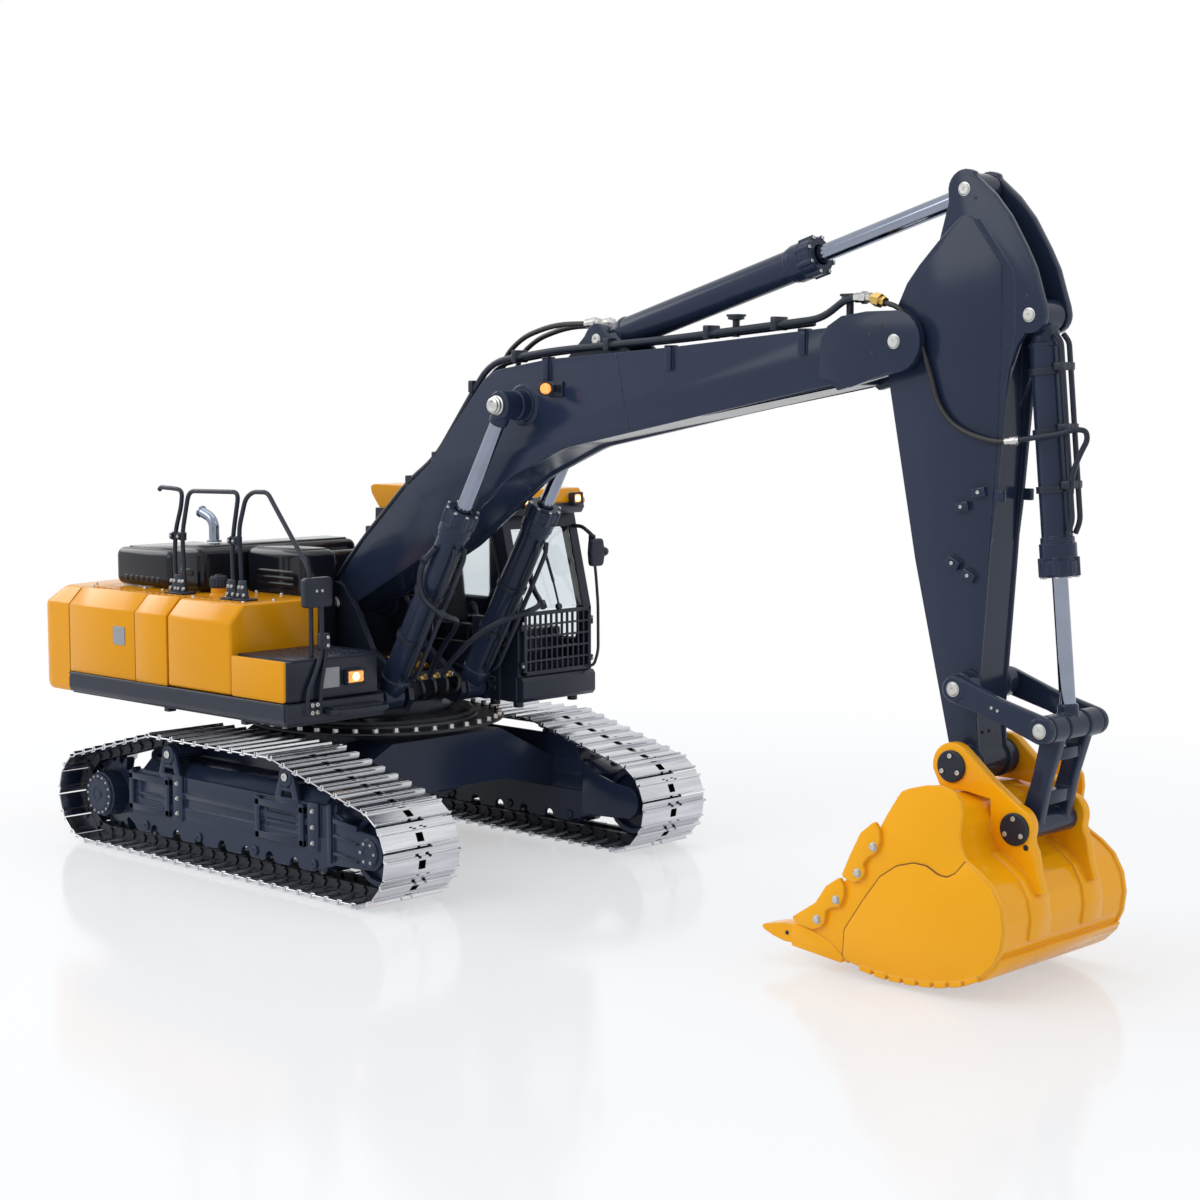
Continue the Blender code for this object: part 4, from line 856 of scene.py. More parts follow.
# Right mirror post: forked legs bolted to the deck, clamp bracket, and the mirror back with two screws
post, glass, postScrews = meshes(3)
tube(post, [(68.6, -113, 104), (68.6, -113, 116), (68.0, -102.5, 136), (68.0, -100.6, 146),
            (68.0, -100.6, 170)], 1.5, 6.0)
tube(post, [(68.6, -103, 104), (68.6, -103, 118), (68.0, -98, 138), (68.0, -98, 150)], 1.5, 6.0)
block(post, (66.3, -103.4, 142), (70.2, -95.6, 152), 0.8, 3)
slab(post, rect(-114, 168, -93, 186, 2.6, 4), 64.6, 69.6, 1.3, 3, "YZ")
block(post, (66.2, -116, 102.6), (68.2, -99.4, 111), 0.6)
newPiece("rightMirror", post, blackPowder, "upper", "right_mirror")
slab(glass, rect(-112.4, 169.6, -94.6, 184.4, 1.6), 64.1, 64.7, 0.1, 1, "YZ")
newPiece("rightMirrorGlass", glass, hardChrome, "upper")
for x, across, height, spots in (
        (68.0, 3.0, 1.6, ((-109.6, 104.6), (-105.6, 104.6), (-109.6, 109.2), (-105.6, 109.2))),
        (70.0, 2.2, 1.0, ((-98, 149.6), (-98, 144.6))), (69.4, 1.9, 0.9, ((-105.6, 178), (-101.4, 178)))):
    for spot in spots:
        capScrew(postScrews, at(x, *spot), forward, across, height)
newPiece("postScrews", postScrews, zincPlate, "upper")

# Deck sills: pressed channels along both sides and the nose
sill = bmesh.new()
for side in hands:
    section = ((124, 97.4), (128.2, 98.4), (129.4, 101.5), (129.4, 107.2), (128.6, 109.4), (129.6, 110.0),
               (129.6, 111.2), (124, 111.2))
    slab(sill, roundOff([(side * y, z) for y, z in section], 0.9, 2), -162.6, 66.4, 0.3, 1, "YZ")
slab(sill, roundOff([(65.0, 98.0), (67.6, 98.4), (67.6, 110.6), (65.0, 111.2)], 0.6, 2), -128, -52, 0.3, 1)
for x in (-60, 20):
    block(sill, (x, -126, 94.4), (x + 5, -120, 97.6), 0.4)
newPiece("deckSills", sill, blackPowder, "upper")
print("upper body dressed")

# Cab: roof cap, panes in rubber seals, barred guard, lamps, mirror, grab rail and feet
cabSize = dict(inner=50.0, outer=118.0)
c = cabSize
roof, visor = meshes(2)
slab(roof, roundOff([(-53, 217.3), (72, 217.3), (76, 224.3), (70, 232.4), (-58, 233.2), (-62, 232),
                     (-61, 227)], 2.0), c["inner"] - 1, c["outer"] + 1, 2.0, 4)
slab(roof, roundOff([(-40, 232), (40, 231.4), (38, 234.2), (-38, 234.4)], 1.0, 2), 62, 106, 0.7)
newPiece("cabRoof", roof, amberEnamel, "upper", "cab_roof")
slab(visor, roundOff([(58, 216.2), (75.6, 216.2), (78.2, 220.4), (76.4, 223.4), (58, 219.4)], 1.0, 2),
     c["inner"] + 2, c["outer"] - 2)
newPiece("roofVisor", visor, blackPowder, "upper")
for name, y in (("roofLampOuter", 108), ("roofLampInner", 62)):
    workLamp(name, (79.4, y, 226), (1, 0, 0.05), 9.0, 8.0, "upper")

guardSize = dict(left=53.0, right=115.0, low=112.6, high=154.0, frame=2.6, bar=0.65, columns=12, rows=5)
g = guardSize
left, right, low, high, edge = (g[k] for k in ("left", "right", "low", "high", "frame"))
guard = bmesh.new()
for y in (left, right - edge):
    block(guard, (82.4, y, low), (85.0, y + edge, high), 0.4)
for z in (low, high - edge):
    block(guard, (82.4, left, z), (85.0, right, z + edge), 0.4)
for n in range(1, g["columns"]):
    y = left + edge / 2 + n * (right - left - edge) / g["columns"]
    block(guard, (82.5, y - g["bar"], low + 1), (84.2, y + g["bar"], high - 1), 0.2, 1)
for n in range(1, g["rows"]):
    z = low + edge / 2 + n * (high - low - edge) / g["rows"]
    block(guard, (83.0, left + 1, z - g["bar"]), (84.9, right - 1, z + g["bar"]), 0.2, 1)
for y in (left - 2.2, right + 0.2):
    for z in (low + 5, high - 12):
        block(guard, (81.6, y, z), (84.6, y + 2.4, z + 4))
newPiece("cabGuardBars", guard, blackPowder, "upper", "cab_guard")

doorGlass = [(-1.4, 131.6), (71.4, 131.6), (71.4, 153), (56.6, 207.4), (-1.4, 207.4)]
for name, outline, middle, plane in (
        ("doorPane", doorGlass, 116.9, "XZ"), ("innerDoorPane", doorGlass, 51.1, "XZ"),
        ("rearSidePane", [(-49.4, 153.6), (-12.6, 153.6), (-12.6, 207.4), (-47.6, 207.4)], 116.9, "XZ"),
        ("backPane", rect(60.6, 155.6, 107.4, 204.4), -60.1, "YZ")):
    pane = bmesh.new()
    slab(pane, roundOff(outline, 4.0, 4), middle - 0.5, middle + 0.5, 0.0, plane=plane)
    newPiece(name, pane, clearPane, "upper")
seals, wiper, grab = meshes(3)
for y in (118.2, 49.8):
    for loop in ([(-2, 131), (72, 131), (72, 153), (57, 208), (-2, 208)],
                 [(-50, 153), (-12, 153), (-12, 208), (-48, 208)]):
        loop = roundOff(loop, 5.0, 4)
        tube(seals, [(x, y, z) for x, z in loop + loop[:1]], 0.9, 0.5, 8)
newPiece("paneSeals", seals, hoseRubber, "upper")
tube(wiper, [(84.0, 86, 155.6), (80.6, 84, 172), (74.6, 80, 198)], 0.7, 4.0, 8)
tube(wiper, [(80.6, 84, 172), (73.8, 79, 202)], 1.0, 2.0, 6)
lathe(wiper, [(2.2, 0), (2.0, 2.4), (0, 2.6)], at(82.4, 86, 155.6), (1, 0, 0.2), 14)
newPiece("wiper", wiper, blackPowder, "upper")
tube(grab, [(89.6, 113.6, 184), (89.6, 115.0, 174), (89.0, 117.4, 156), (89.0, 117.6, 124),
            (88.0, 114.6, 115), (84.4, 111.6, 113.6)], 1.0, 5.0, 10)
newPiece("grabRail", grab, blackPowder, "upper")
mirror, glass = meshes(2)
tube(mirror, [(69.6, 113, 207), (80, 111, 207.4), (88, 109, 204.4), (90, 113, 200)], 1.3, 5.0)
slab(mirror, roundOff([(108.6, 181), (119.6, 181), (121.4, 190), (119.4, 199.6), (108.4, 199.2),
                       (107.6, 190)], 3.0, 4), 88.0, 92.6, 1.5, 4, "YZ")
lathe(mirror, [(0, 0), (2.6, 0.2), (3.2, 1.8), (2.6, 3.6), (0, 4.2)], at(90.4, 120.0, 190.4), leftward, 20)
block(mirror, (86.0, 111, 196.5), (88.8, 116, 202), 0.9, 3)
newPiece("leftMirror", mirror, blackPowder, "upper", "left_mirror")
slab(glass, roundOff([(109.8, 182.6), (118.6, 182.6), (119.8, 190), (118.4, 198), (109.8, 197.6)], 2.0),
     87.4, 88.1, 0.1, 1, "YZ")
newPiece("leftMirrorGlass", glass, hardChrome, "upper")
base, cabScrews, inside = meshes(3)
slab(base, roundOff([(60, 95.4), (84.2, 95.4), (86.4, 98.0), (86.4, 109.4), (84.4, 111.8), (60, 111.8)],
                    1.2), 50.5, 117.5, 1.0)
block(base, (40, 48.6, 96), (66, 50.6, 150))
for z in (102, 108):
    block(base, (44, 47.9, z), (62, 48.9, z + 3), 0.4)
for spot in ((74, 58), (74, 108), (52, 58)):
    lathe(base, [(3.2, -5.6), (3.4, -5.0), (3.4, -1.0), (2.4, 0.6)], at(*spot, 96.6), upward, 16)
newPiece("cabBase", base, blackPowder, "upper")
for z in (119, 147):
    for y in (52.0, 116.2):
        capScrew(cabScrews, at(84.4, y, z), forward, 1.9, 0.9)
for x in (-54, -20, 20, 60):
    capScrew(cabScrews, at(x, 118.0, 122), leftward, 2.2, 1.0)
newPiece("cabScrews", cabScrews, zincPlate, "upper")
block(inside, (40, 60, 116), (64, 108, 140), 2.0, 3)
for y in (64, 104):
    tube(inside, [(30, y, 128), (30, y, 146), (26, y, 152)], 1.4, 5.0, 8)
    lathe(inside, [(0, -2), (2.0, -1.6), (2.6, 1.0), (1.8, 4.2), (0, 5.0)], at(26, y, 152), (-0.4, 0, 1), 12)
for y in (60, 102):
    block(inside, (-34, y, 116), (24, y + 6, 142), 1.6, 3)
newPiece("cabConsoles", inside, blackPowder, "upper")

# Seat: two closed pads, crowned, with sides drawn in, sewn channels across and a welt where the covers meet
seatSize = dict(wide=32.0, cushion=(-1.0, 84.0, 128.4), long=38.0, thick=10.0, back=(-20.4, 84.0, 154.0),
                tall=54.0, backThick=8.0, pull=0.05, channels=3, groove=1.1, steps=28, fill=0.8)
s = seatSize


def cushion(target, size, thick, turn, centre):
    pad = bmesh.new()
    spots = {}
    steps = s["steps"]
    seams = [2 * (k + 1) / (s["channels"] + 1) - 1 for k in range(s["channels"])]
    for skin in (1, -1):
        for i in range(steps + 1):
            for j in range(steps + 1):
                u, w = 2 * i / steps - 1, 2 * j / steps - 1
                if skin < 0 and max(abs(u), abs(w)) > 0.999:
                    spots[skin, i, j] = spots[1, i, j]
                    continue
                x = size[0] / 2 * u * (1 - s["pull"] * (1 - w * w))
                y = size[1] / 2 * w * (1 - s["pull"] * (1 - u * u))
                bulge = ((1 - u ** 6) * (1 - w ** 6)) ** 0.5
                crown = thick / 2 * bulge * (0.82 + 0.18 * (1 - u * u) * (1 - w * w))
                sewn = sum(math.exp(-((u - seam) / 0.05) ** 2) for seam in seams)
                z = skin * (crown - (s["groove"] * sewn * bulge if skin > 0 else 0))
                spots[skin, i, j] = pad.verts.new((x, y, z))
        for i in range(steps):
            for j in range(steps):
                corners = [spots[skin, i + a, j + b] for a, b in ((0, 0), (1, 0), (1, 1), (0, 1))]
                pad.faces.new(corners if skin > 0 else corners[::-1])
    turned = Matrix.Rotation(math.radians(turn), 4, "Y")
    pad.transform(Matrix.Translation(at(*centre)) @ turned @ Matrix.Scale(mm, 4))
    join(target, pad)


pads, shell = meshes(2)
cushion(pads, (s["long"], s["wide"]), s["thick"], -4, s["cushion"])
cushion(pads, (s["tall"], s["wide"] - 2), s["backThick"], -98, s["back"])
slab(shell, roundOff([(-20, 116), (14, 116), (17, 124.4), (-20, 124.4)], 1.6), 69, 99, 1.2)
slab(shell, roundOff([(-28.6, 126), (-25.4, 124), (-24.6, 150), (-27, 176), (-29, 176), (-28.8, 150)],
                     1.0, 2), 70.5, 97.5, 0.8)
newPiece("seatShell", shell, blackPowder, "upper")
seatPiece = newPiece("operatorSeat", pads, seatVinyl, "upper", "operator_seat")
print("cab fitted")

# Working arm: pin centres as X and Z, shared by every piece of it
pins = dict(boomFoot=(-12, 159), boomRod=(160, 289), boomBase=(52, 105), stickBase=(213, 327),
            stickRod=(468, 398), stick=(432, 323), bucketBase=(507, 335), rocker=(475, 149),
            rodEnd=(526, 133), bucket=(475, 110), link=(513, 83))


def across(pin, y):
    return at(pins[pin][0], y, pins[pin][1])


def pinEnd(target, pin, y, side, radius, height):
    # pale end of a pin: collar, chamfered edge and a centre mark
    lathe(target, [(radius + 0.5, 0), (radius + 0.5, 0.3), (radius, 0.35), (radius, height - 0.5),
                   (radius - 0.5, height), (1.0, height), (0.5, height - 0.5)], across(pin, y),
          (0, side, 0), 32)


def crossTube(target, pin, low, high, radius, chamfer=0.8):
    low, high = sorted((low, high))
    end, long = radius - chamfer, high - low
    lathe(target, [(end, 0), (radius, chamfer), (radius, long - chamfer), (end, long)], across(pin, low),
          leftward, 32)


def holeShadeDisc(target, place, direction, radius, height):
    # painted shade: a dark disc with its rim where a threaded hole is, its black standing in for the shade
    # inside the hole
    lathe(target, [(radius, 0), (radius, height - 0.05), (radius / 2 - 0.05, height)], place, direction, 12)


# Boom: cranked box with side plates that overlap its top and bottom sheets
boomSize = dict(half=20.0, plate=4.4, lip=1.4, slot=397.0, tipProud=1.4, weld=0.55)
b = boomSize
boomLine = arcPoints(pins["boomFoot"], 12, 235, 130, 10)
boomLine += [(12, 201), (54, 237), (76, 252)]
boomLine += roundOff([(76, 252), (130, 309), (181, 316)], 34, 10, False)[1:-1]
boomLine += [(181, 316), (279, 322), (391, 331), (410, 336)]
boomLine += arcPoints(pins["stick"], 15.5, 100, -80, 12)
boomLine += [(395, 298), (391, 301)]
boomLine += roundOff([(391, 301), (193, 264), (146, 245), (80, 199)], 70, 8, False)[1:]
tipLine = [(384, 304.5), (384.6, 325), (389, 331.5), (398, 336.5), (414, 338.6)]
tipLine = roundOff(tipLine + arcPoints(pins["stick"], 16.0, 80, -100, 12) + [(404, 299.6)], 1.5)
earLine = [(186, 313.6), (243, 317.6), (227, 331)]
earLine += arcPoints(pins["stickBase"], 9.4, 20, 150, 8) + [(203, 329)]


def shrunk(outline, inset):
    # the same outline moved in by a fixed distance
    spots = [Vector(p) for p in outline]
    area = sum(p.x * q.y - q.x * p.y for p, q in zip(spots, spots[1:] + spots[:1]))
    turn = 1 if area > 0 else -1
    made = []
    for n, p in enumerate(spots):
        a, c = (p - spots[n - 1]).normalized(), (spots[(n + 1) % len(spots)] - p).normalized()
        normal = (Vector((-a.y, a.x)) + Vector((-c.y, c.x))).normalized() * turn
        made.append(tuple(p + normal * inset))
    return made


boom, pale, marks = meshes(3)
for side in hands:
    slab(boom, boomLine, side * (b["half"] - b["plate"]), side * b["half"], 0.45)
    slab(boom, tipLine, side * (b["half"] - 0.6), side * (b["half"] + b["tipProud"]))
    slab(boom, earLine, side * 9.4, side * 12.4)
    crossTube(boom, "boomRod", side * 19.0, side * 28.4, 9.0)
    crossTube(boom, "boomRod", side * 19.0, side * 21.2, 12.4, 1.0)
    crossTube(boom, "boomFoot", side * 19.0, side * 20.3, 11.5, 0.2)
    for x, z in ((180, 315.4), (277, 321.2), (372, 328.8)):
        block(boom, (x - 2.4, side * 19.6, z - 12), (x + 2.4, side * 22.0, z + 1.6))
        block(boom, (x - 2.4, side * 15, z + 0.2), (x + 2.4, side * 22.0, z + 1.8))
    # weld seams where the foot and nose castings meet the plates
    for run in (((60, 241), (84, 203)), ((236, 318.6), (246, 275))):
        tube(boom, [(x, side * 20.05, z) for x, z in run], b["weld"], 1.0, 6)
    for pin, y, radius, height in (("stick", 21.3, 3.3, 1.5), ("stickBase", 12.4, 2.9, 1.2),
                                   ("boomFoot", 24.6, 4.6, 1.6)):
        pinEnd(pale, pin, side * y, side, radius, height)
    # painted shade: dark discs for three threaded holes in the nose plate
    for x, z in ((417, 327), (418.5, 317.5), (424, 331)):
        holeShadeDisc(marks, at(x, side * 21.3, z), (0, side, 0), 1.1, 0.3)
inner = [p for p in shrunk(boomLine, b["lip"]) if p[0] < b["slot"] - 4]
nose = inner.index(max(inner[:45], key=lambda p: p[0])) + 1
inner[nose:nose] = [(b["slot"], 331.0), (b["slot"], 300.8)]
slab(boom, inner, b["plate"] - b["half"] - 0.2, b["half"] - b["plate"] + 0.2, 0.3, 1)
newPiece("boomBox", boom, navyEnamel, "boom_body", "boom", sharp=30.0)
newPiece("boomPinEnds", pale, zincPlate, "boom_body")
newPiece("boomHoleShade", marks, hoseRubber, "boom_body")

# Boom services: hard lines on clips, stub posts, looping hoses and couplings
lines, hoses, fittings, coupling = meshes(4)
tube(lines, [(-16, -17.5, 176), (-6, -17.5, 187), (12, -17, 204.6), (54, -16.5, 241), (78, -16, 255.6),
             (127, -15.5, 314.6), (181, -15.5, 321), (279, -15.5, 327), (381, -15.5, 335.6),
             (396, -15.5, 345), (404, -15.5, 346)], 2.0, 14.0)
tube(lines, [(-16, -12.5, 175), (-6, -12.5, 186), (12, -12.5, 203.6), (54, -12, 240), (78, -11, 254.6),
             (128, -10.5, 313.2), (181, -10.5, 320), (279, -10.5, 326), (372, -10.5, 333.4)], 1.6, 14.0, 10)
for x, z in ((14, 204.5), (53, 238), (78, 253.4), (112, 297.4), (150, 315.4), (226, 321.6), (302, 327.4),
             (350, 331.2)):
    block(lines, (x - 2, -18.6, z - 1.2), (x + 2, -7.8, z + 6.2), 0.7)
for x, z in ((318, 327), (396, 336)):
    lathe(lines, [(2.0, 0), (2.0, 9.0), (4.6, 9.6), (4.6, 11.0), (0, 11.2)], at(x, -11, z), upward, 16)
    block(lines, (x - 4, -15, z + 11), (x + 4, -7, z + 12.4))
newPiece("boomLines", lines, blackPowder, "boom_body", "boom_pipe")
for y, drop in ((-6.0, 0.0), (6.0, -1.0)):
    tube(hoses, [(126, y, 306 + drop), (131, y, 319), (146, y, 329.6 + drop), (172, y, 336.4 + drop),
                 (200, y, 336.6 + drop)], 1.6, 16.0)
    lathe(fittings, [(2.7, 0), (2.7, 5.0), (3.2, 5.2), (3.2, 8.0), (2.2, 8.4), (2.2, 11)], at(199, y, 336.6),
          (1, 0, 0.06), 12)
    lathe(fittings, [(2.7, 0), (2.7, 5.0), (0, 5.2)], at(126, y, 306), (-0.35, 0, -1), 12)
newPiece("boomHoses", hoses, hoseRubber, "boom_body")
lathe(fittings, [(2.6, 0), (2.6, 4.0), (3.3, 4.2), (3.3, 7.6), (2.6, 8.0), (2.6, 10.5)], at(403, -15.5, 346),
      (1, 0, -0.02), 6)
for x, z in ((326, 331), (333, 331.6)):
    lathe(fittings, [(2.2, 0), (2.2, 3.4), (0, 3.6)], at(x, -11, z), (1, 0, 0.08), 6)
newPiece("boomFittings", fittings, zincPlate, "boom_body")
lathe(coupling, [(2.4, 0), (2.4, 2.4), (3.7, 2.6), (3.7, 7.0), (2.6, 7.4), (2.6, 10)], at(414, -16.5, 345.4),
      (1, -0.1, -0.22), 6)
newPiece("boomCoupling", coupling, turnedBrass, "boom_body")
for label, side in reversed(sides):
    bracket, lens = meshes(2)
    spot, aim = at(185.6, side * 27.2, 298.8), (0.75, side * 0.65, 0)
    block(bracket, (182, side * 19.8, 294), (194, side * 21.4, 303))
    block(bracket, (186, side * 21, 296.5), (190, side * 25, 301))
    lathe(bracket, [(3.4, 0), (4.4, 1.2), (4.4, 5.4), (3.7, 5.6), (3.5, 4.6)], spot, aim, 20)
    lathe(lens, [(3.4, 4.4), (3.0, 5.4), (1.6, 6.0), (0, 6.2)], spot, aim, 20)
    newPiece(label + "BoomLampShell", bracket, blackPowder, "boom_body")
    newPiece(label + "BoomLampLens", lens, warmLens, "boom_body")
print("boom built")

# Cylinders: honed tube, screwed gland, chrome rod, forged eyes; boom and bucket cylinders carry hard lines
ramSize = dict(boom=dict(barrel=8.8, rod=4.6, long=140.0, eye=8.0, eyeHalf=8.0, rodEye=8.5, rodHalf=6.0),
               stick=dict(barrel=9.0, rod=4.8, long=161.0, eye=9.0, eyeHalf=8.0, rodEye=8.5, rodHalf=8.0),
               bucket=dict(barrel=7.8, rod=4.0, long=129.0, eye=8.0, eyeHalf=7.8, rodEye=7.0, rodHalf=8.0))


def ram(label, size, base, end, y):
    start = across(base, y)
    run = across(end, y) - start
    along, reach = run.normalized(), run.length / mm
    side = along.cross(Vector(leftward))
    long, r, gland, bore = size["long"], size["barrel"], size["barrel"] + 1.5, size["rod"]
    barrel, bolts, rod, eye = meshes(4)
    lathe(barrel, [(0, 4), (r - 2.2, 4), (r - 0.4, 8), (r - 0.4, 13), (r + 0.6, 13.6),
                   (r + 0.6, 15.4), (r, 16), (r, long - 20), (r + 0.7, long - 19.4), (r + 0.7, long - 17),
                   (gland, long - 16.4), (gland, long - 9.4), (gland - 0.6, long - 9),
                   (gland - 0.6, long - 8), (gland, long - 7.6), (gland, long - 1.4), (gland - 1.2, long),
                   (bore + 1.2, long), (bore + 0.5, long - 1), (bore + 0.5, long - 4)], start, along, 36)
    crossTube(barrel, base, y - size["eyeHalf"], y + size["eyeHalf"], size["eye"])
    for n in range(8):
        a = 2 * math.pi * (n + 0.5) / 8
        out = side * math.cos(a) + Vector(leftward) * math.sin(a)
        lathe(barrel, [(1.5, -9.6), (1.5, -0.2)], start + along * long * mm + out * (gland - 0.4) * mm,
              along, 10)
        capScrew(bolts, start + along * (long - 0.2) * mm + out * (gland - 0.5) * mm, along, 2.0, 0.9)
    newPiece(label + "Barrel", barrel, navyEnamel, label + "_barrel_body", label + "_barrel")
    newPiece(label + "GlandBolts", bolts, zincPlate, label + "_barrel_body")
    neck = reach - size["rodEye"]
    lathe(rod, [(bore, long - 50), (bore, neck - 2)], start, along, 36)
    newPiece(label + "Rod", rod, hardChrome, label + "_rod_body", label + "_rod")
    lathe(eye, [(bore + 0.6, neck - 4), (bore + 1.2, neck - 3.2), (bore + 1.6, reach - 3)], start, along)
    crossTube(eye, end, y - size["rodHalf"], y + size["rodHalf"], size["rodEye"])
    newPiece(label + "RodEye", eye, navyEnamel, label + "_rod_body")
    return start, along, side


def barrelSpot(axis, distance, height, aside=0.0):
    # a point beside a cylinder, back in millimetres from the swing axis
    start, along, side = axis
    place = start + along * distance * mm + side * height * mm
    return place.x / mm + swingAxisX, place.y / mm + aside, place.z / mm


for label, hand in sides:
    axis = ram(label + "_boom", ramSize["boom"], "boomBase", "boomRod", hand * 35.0)
    body, radius = label + "_boom_barrel_body", ramSize["boom"]["barrel"]
    extra, clamps, nut, basePin = meshes(4)
    for off in (-4.0, 4.0):
        tube(extra, [barrelSpot(axis, d, -(radius + h), off) for d, h in
                     ((20, 0.6), (26, 3.4), (96, 3.4), (112, 3.2), (118, 0.4))], 1.5, 5.0, 10)
    newPiece(label + "BoomRamLines", extra, blackPowder, body)
    for d in (44, 78):
        lathe(clamps, [(8.6, 0), (9.8, 0), (9.8, 3.4), (8.6, 3.4), (8.6, 0)], axis[0] + axis[1] * d * mm,
              axis[1], 36)
    newPiece(label + "BoomRamBands", clamps, blackPowder, body)
    lathe(nut, [(5.8, -0.4), (5.8, 1.0), (5.1, 1.4), (5.1, 3.0), (4.4, 3.3), (4.4, 4.6), (3.0, 5.0),
                (2.2, 4.2)], across("boomRod", hand * 41.2), (0, hand, 0))
    newPiece(label + "BoomRodNut", nut, zincPlate, "boom_body")
    pinEnd(basePin, "boomBase", hand * 49.2, hand, 3.6, 1.4)
    newPiece(label + "BoomBasePin", basePin, zincPlate, "upper")
ram("stick", ramSize["stick"], "stickBase", "stickRod", 0.0)
axis = ram("bucket", ramSize["bucket"], "bucketBase", "rodEnd", 0.0)
front, radius = (1 if axis[2].x > 0 else -1), ramSize["bucket"]["barrel"]
extra = bmesh.new()
for off in (-3.6, 3.6):
    tube(extra, [barrelSpot(axis, d, front * (radius + h), off) for d, h in
                 ((10, 0.6), (14, 3.6), (60, 3.6), (102, 3.6), (108, 0.4))], 1.4, 5.0, 10)
for d in (26, 56, 84):
    lathe(extra, [(7.6, 0), (8.9, 0), (8.9, 3.4), (7.6, 3.4), (7.6, 0)], axis[0] + axis[1] * d * mm,
          axis[1], 36)
    x, y, z = barrelSpot(axis, d, front * 10.2)
    block(extra, (x - 2.4, -6.4, z - 2), (x + 2.2, 6.4, z + 2), 0.6)
newPiece("bucketRamLines", extra, blackPowder, "bucket_barrel_body")
print("cylinders built")

# Stick: tapered box with a chamfered front corner, on twin curved plates that carry the bucket cylinder
stickSize = dict(half=13.5, wingIn=8.4, wingOut=12.7)
k = stickSize
boxLine = [(467.5, 385.2), (452.7, 372.8), (441.5, 361.6), (433.9, 352.5), (428.6, 342), (423, 304),
           (441, 212), (465.2, 112)] + arcPoints(pins["bucket"], 10, 170, 410, 14)
boxLine += [(480, 133), (486, 214), (490, 275), (491.4, 335), (491, 360.5), (473, 384)]
bevelLine = [(473, 384), (491, 360.5), (491.4, 335), (490, 275), (486.6, 222), (489, 240), (494.6, 300),
             (499, 327), (498.6, 352), (497, 358), (478, 383)]
wingLine = [(453, 373), (456.7, 385.8), (458.4, 391.8)] + arcPoints(pins["stickRod"], 10, 175, 58, 8)
wingLine += roundOff([(474, 404.4), (485.1, 394.9), (494.4, 383.9), (503.7, 368.5), (509.2, 357.9),
                      (512.6, 347.3), (515.4, 339)], 14, 3, False)
wingLine += arcPoints(pins["bucketBase"], 9, 20, -105, 8)
wingLine += [(500.3, 320.5), (496.9, 311.4), (489, 290), (470, 300), (450, 350)]
coreLine = [(447, 362), (430.5, 342), (424.6, 304), (442.4, 212), (467, 112)]
coreLine += arcPoints(pins["bucket"], 8.6, 170, 410, 12)
coreLine += [(478.8, 133), (484.8, 214), (488.8, 275), (489.6, 335), (480, 372), (463, 376)]
stick, pale, marks = meshes(3)
for side in hands:
    slab(stick, boxLine, side * 11.2, side * k["half"], 0.6)
    slab(stick, bevelLine, side * 10.6, side * 12.9, 0.3, 1)
    slab(stick, wingLine, side * k["wingIn"], side * k["wingOut"])
    crossTube(stick, "rocker", side * 13.0, side * 21.6, 8.0)
    crossTube(stick, "bucket", side * 13.0, side * 20.2, 9.5)
    # hose clips: short bars, each with a screw
    for x, z, lean in ((471, 240, 0.2), (481, 247.5, 0.2), (466, 211.5, -0.5), (475.5, 205.5, -0.5)):
        run = Vector((1, lean)).normalized() * 4.0
        wide = Vector((-run.y, run.x)) * 0.6
        spot = Vector((x, z))
        slab(stick, [spot - run + wide, spot - run - wide, spot + run - wide, spot + run + wide],
             side * 13.3, side * 16.4, 0.6)
    block(stick, (489, side * 11, 243), (494.5, side * 14, 249), 0.6)
    pinEnd(pale, "stickRod", side * k["wingOut"], side, 3.0, 1.2)
    pinEnd(pale, "bucketBase", side * k["wingOut"], side, 3.0, 1.3)
    for x, z in ((471, 240), (481.2, 247.6), (466, 211.4), (475.6, 205.6)):
        capScrew(pale, at(x, side * 16.3, z), (0, side, 0), 2.0, 0.9)
    # painted shade: two more dark discs standing in for holes in the plates
    for x, z in ((474.7, 393.5), (505.8, 344.2)):
        lathe(marks, [(1.0, 0), (1.0, 0.2), (0.4, 0.25)], at(x, side * k["wingOut"], z), (0, side, 0), 12)
slab(stick, coreLine, -11.4, 11.4, 0.3, 1)
crossTube(stick, "stick", -14.9, 14.9, 13.0)
# painted shade: dark discs for two threaded holes near the stick's foot
for y in (-6, 0):
    holeShadeDisc(marks, at(480.4, y, 125.5), forward, 0.9, 0.3)
newPiece("stickBox", stick, navyEnamel, "stick_body", "stick", sharp=30.0)
newPiece("stickPinEnds", pale, zincPlate, "stick_body")
newPiece("stickHoleShade", marks, hoseRubber, "stick_body")

# Stick hose: leaves the boom coupling, loops over the joint and lies along the stick's side to its fitting
crossover, hose, fittings, line = meshes(4)
tube(crossover, [(423, -17.4, 343), (431.9, -17.4, 340.6), (439.4, -17.0, 332.4), (445.7, -16.4, 321)],
     1.4, 9.0, 14)
newPiece("crossoverHose", crossover, hoseRubber, ("boom_body", "stick_body", at(426, -17, 343),
                                                  at(444, -17, 324)))
tube(hose, [(445.5, -16.4, 321.4), (450.8, -15.6, 306.9), (455.8, -15.6, 291.3), (464.5, -15.6, 281.3),
            (475.8, -15.6, 276.1), (488.8, -15.6, 273.2), (497.8, -15.6, 273.1)], 1.4, 9.0, 14)
newPiece("stickHose", hose, hoseRubber, "stick_body", "stick_hose")
lathe(fittings, [(1.9, 0), (1.9, 3.0), (2.3, 3.2), (2.3, 6.2), (1.7, 6.6), (1.7, 8)],
      at(496.6, -15.6, 273.1), (1, 0, 0.1), 12)
newPiece("stickFitting", fittings, zincPlate, "stick_body")
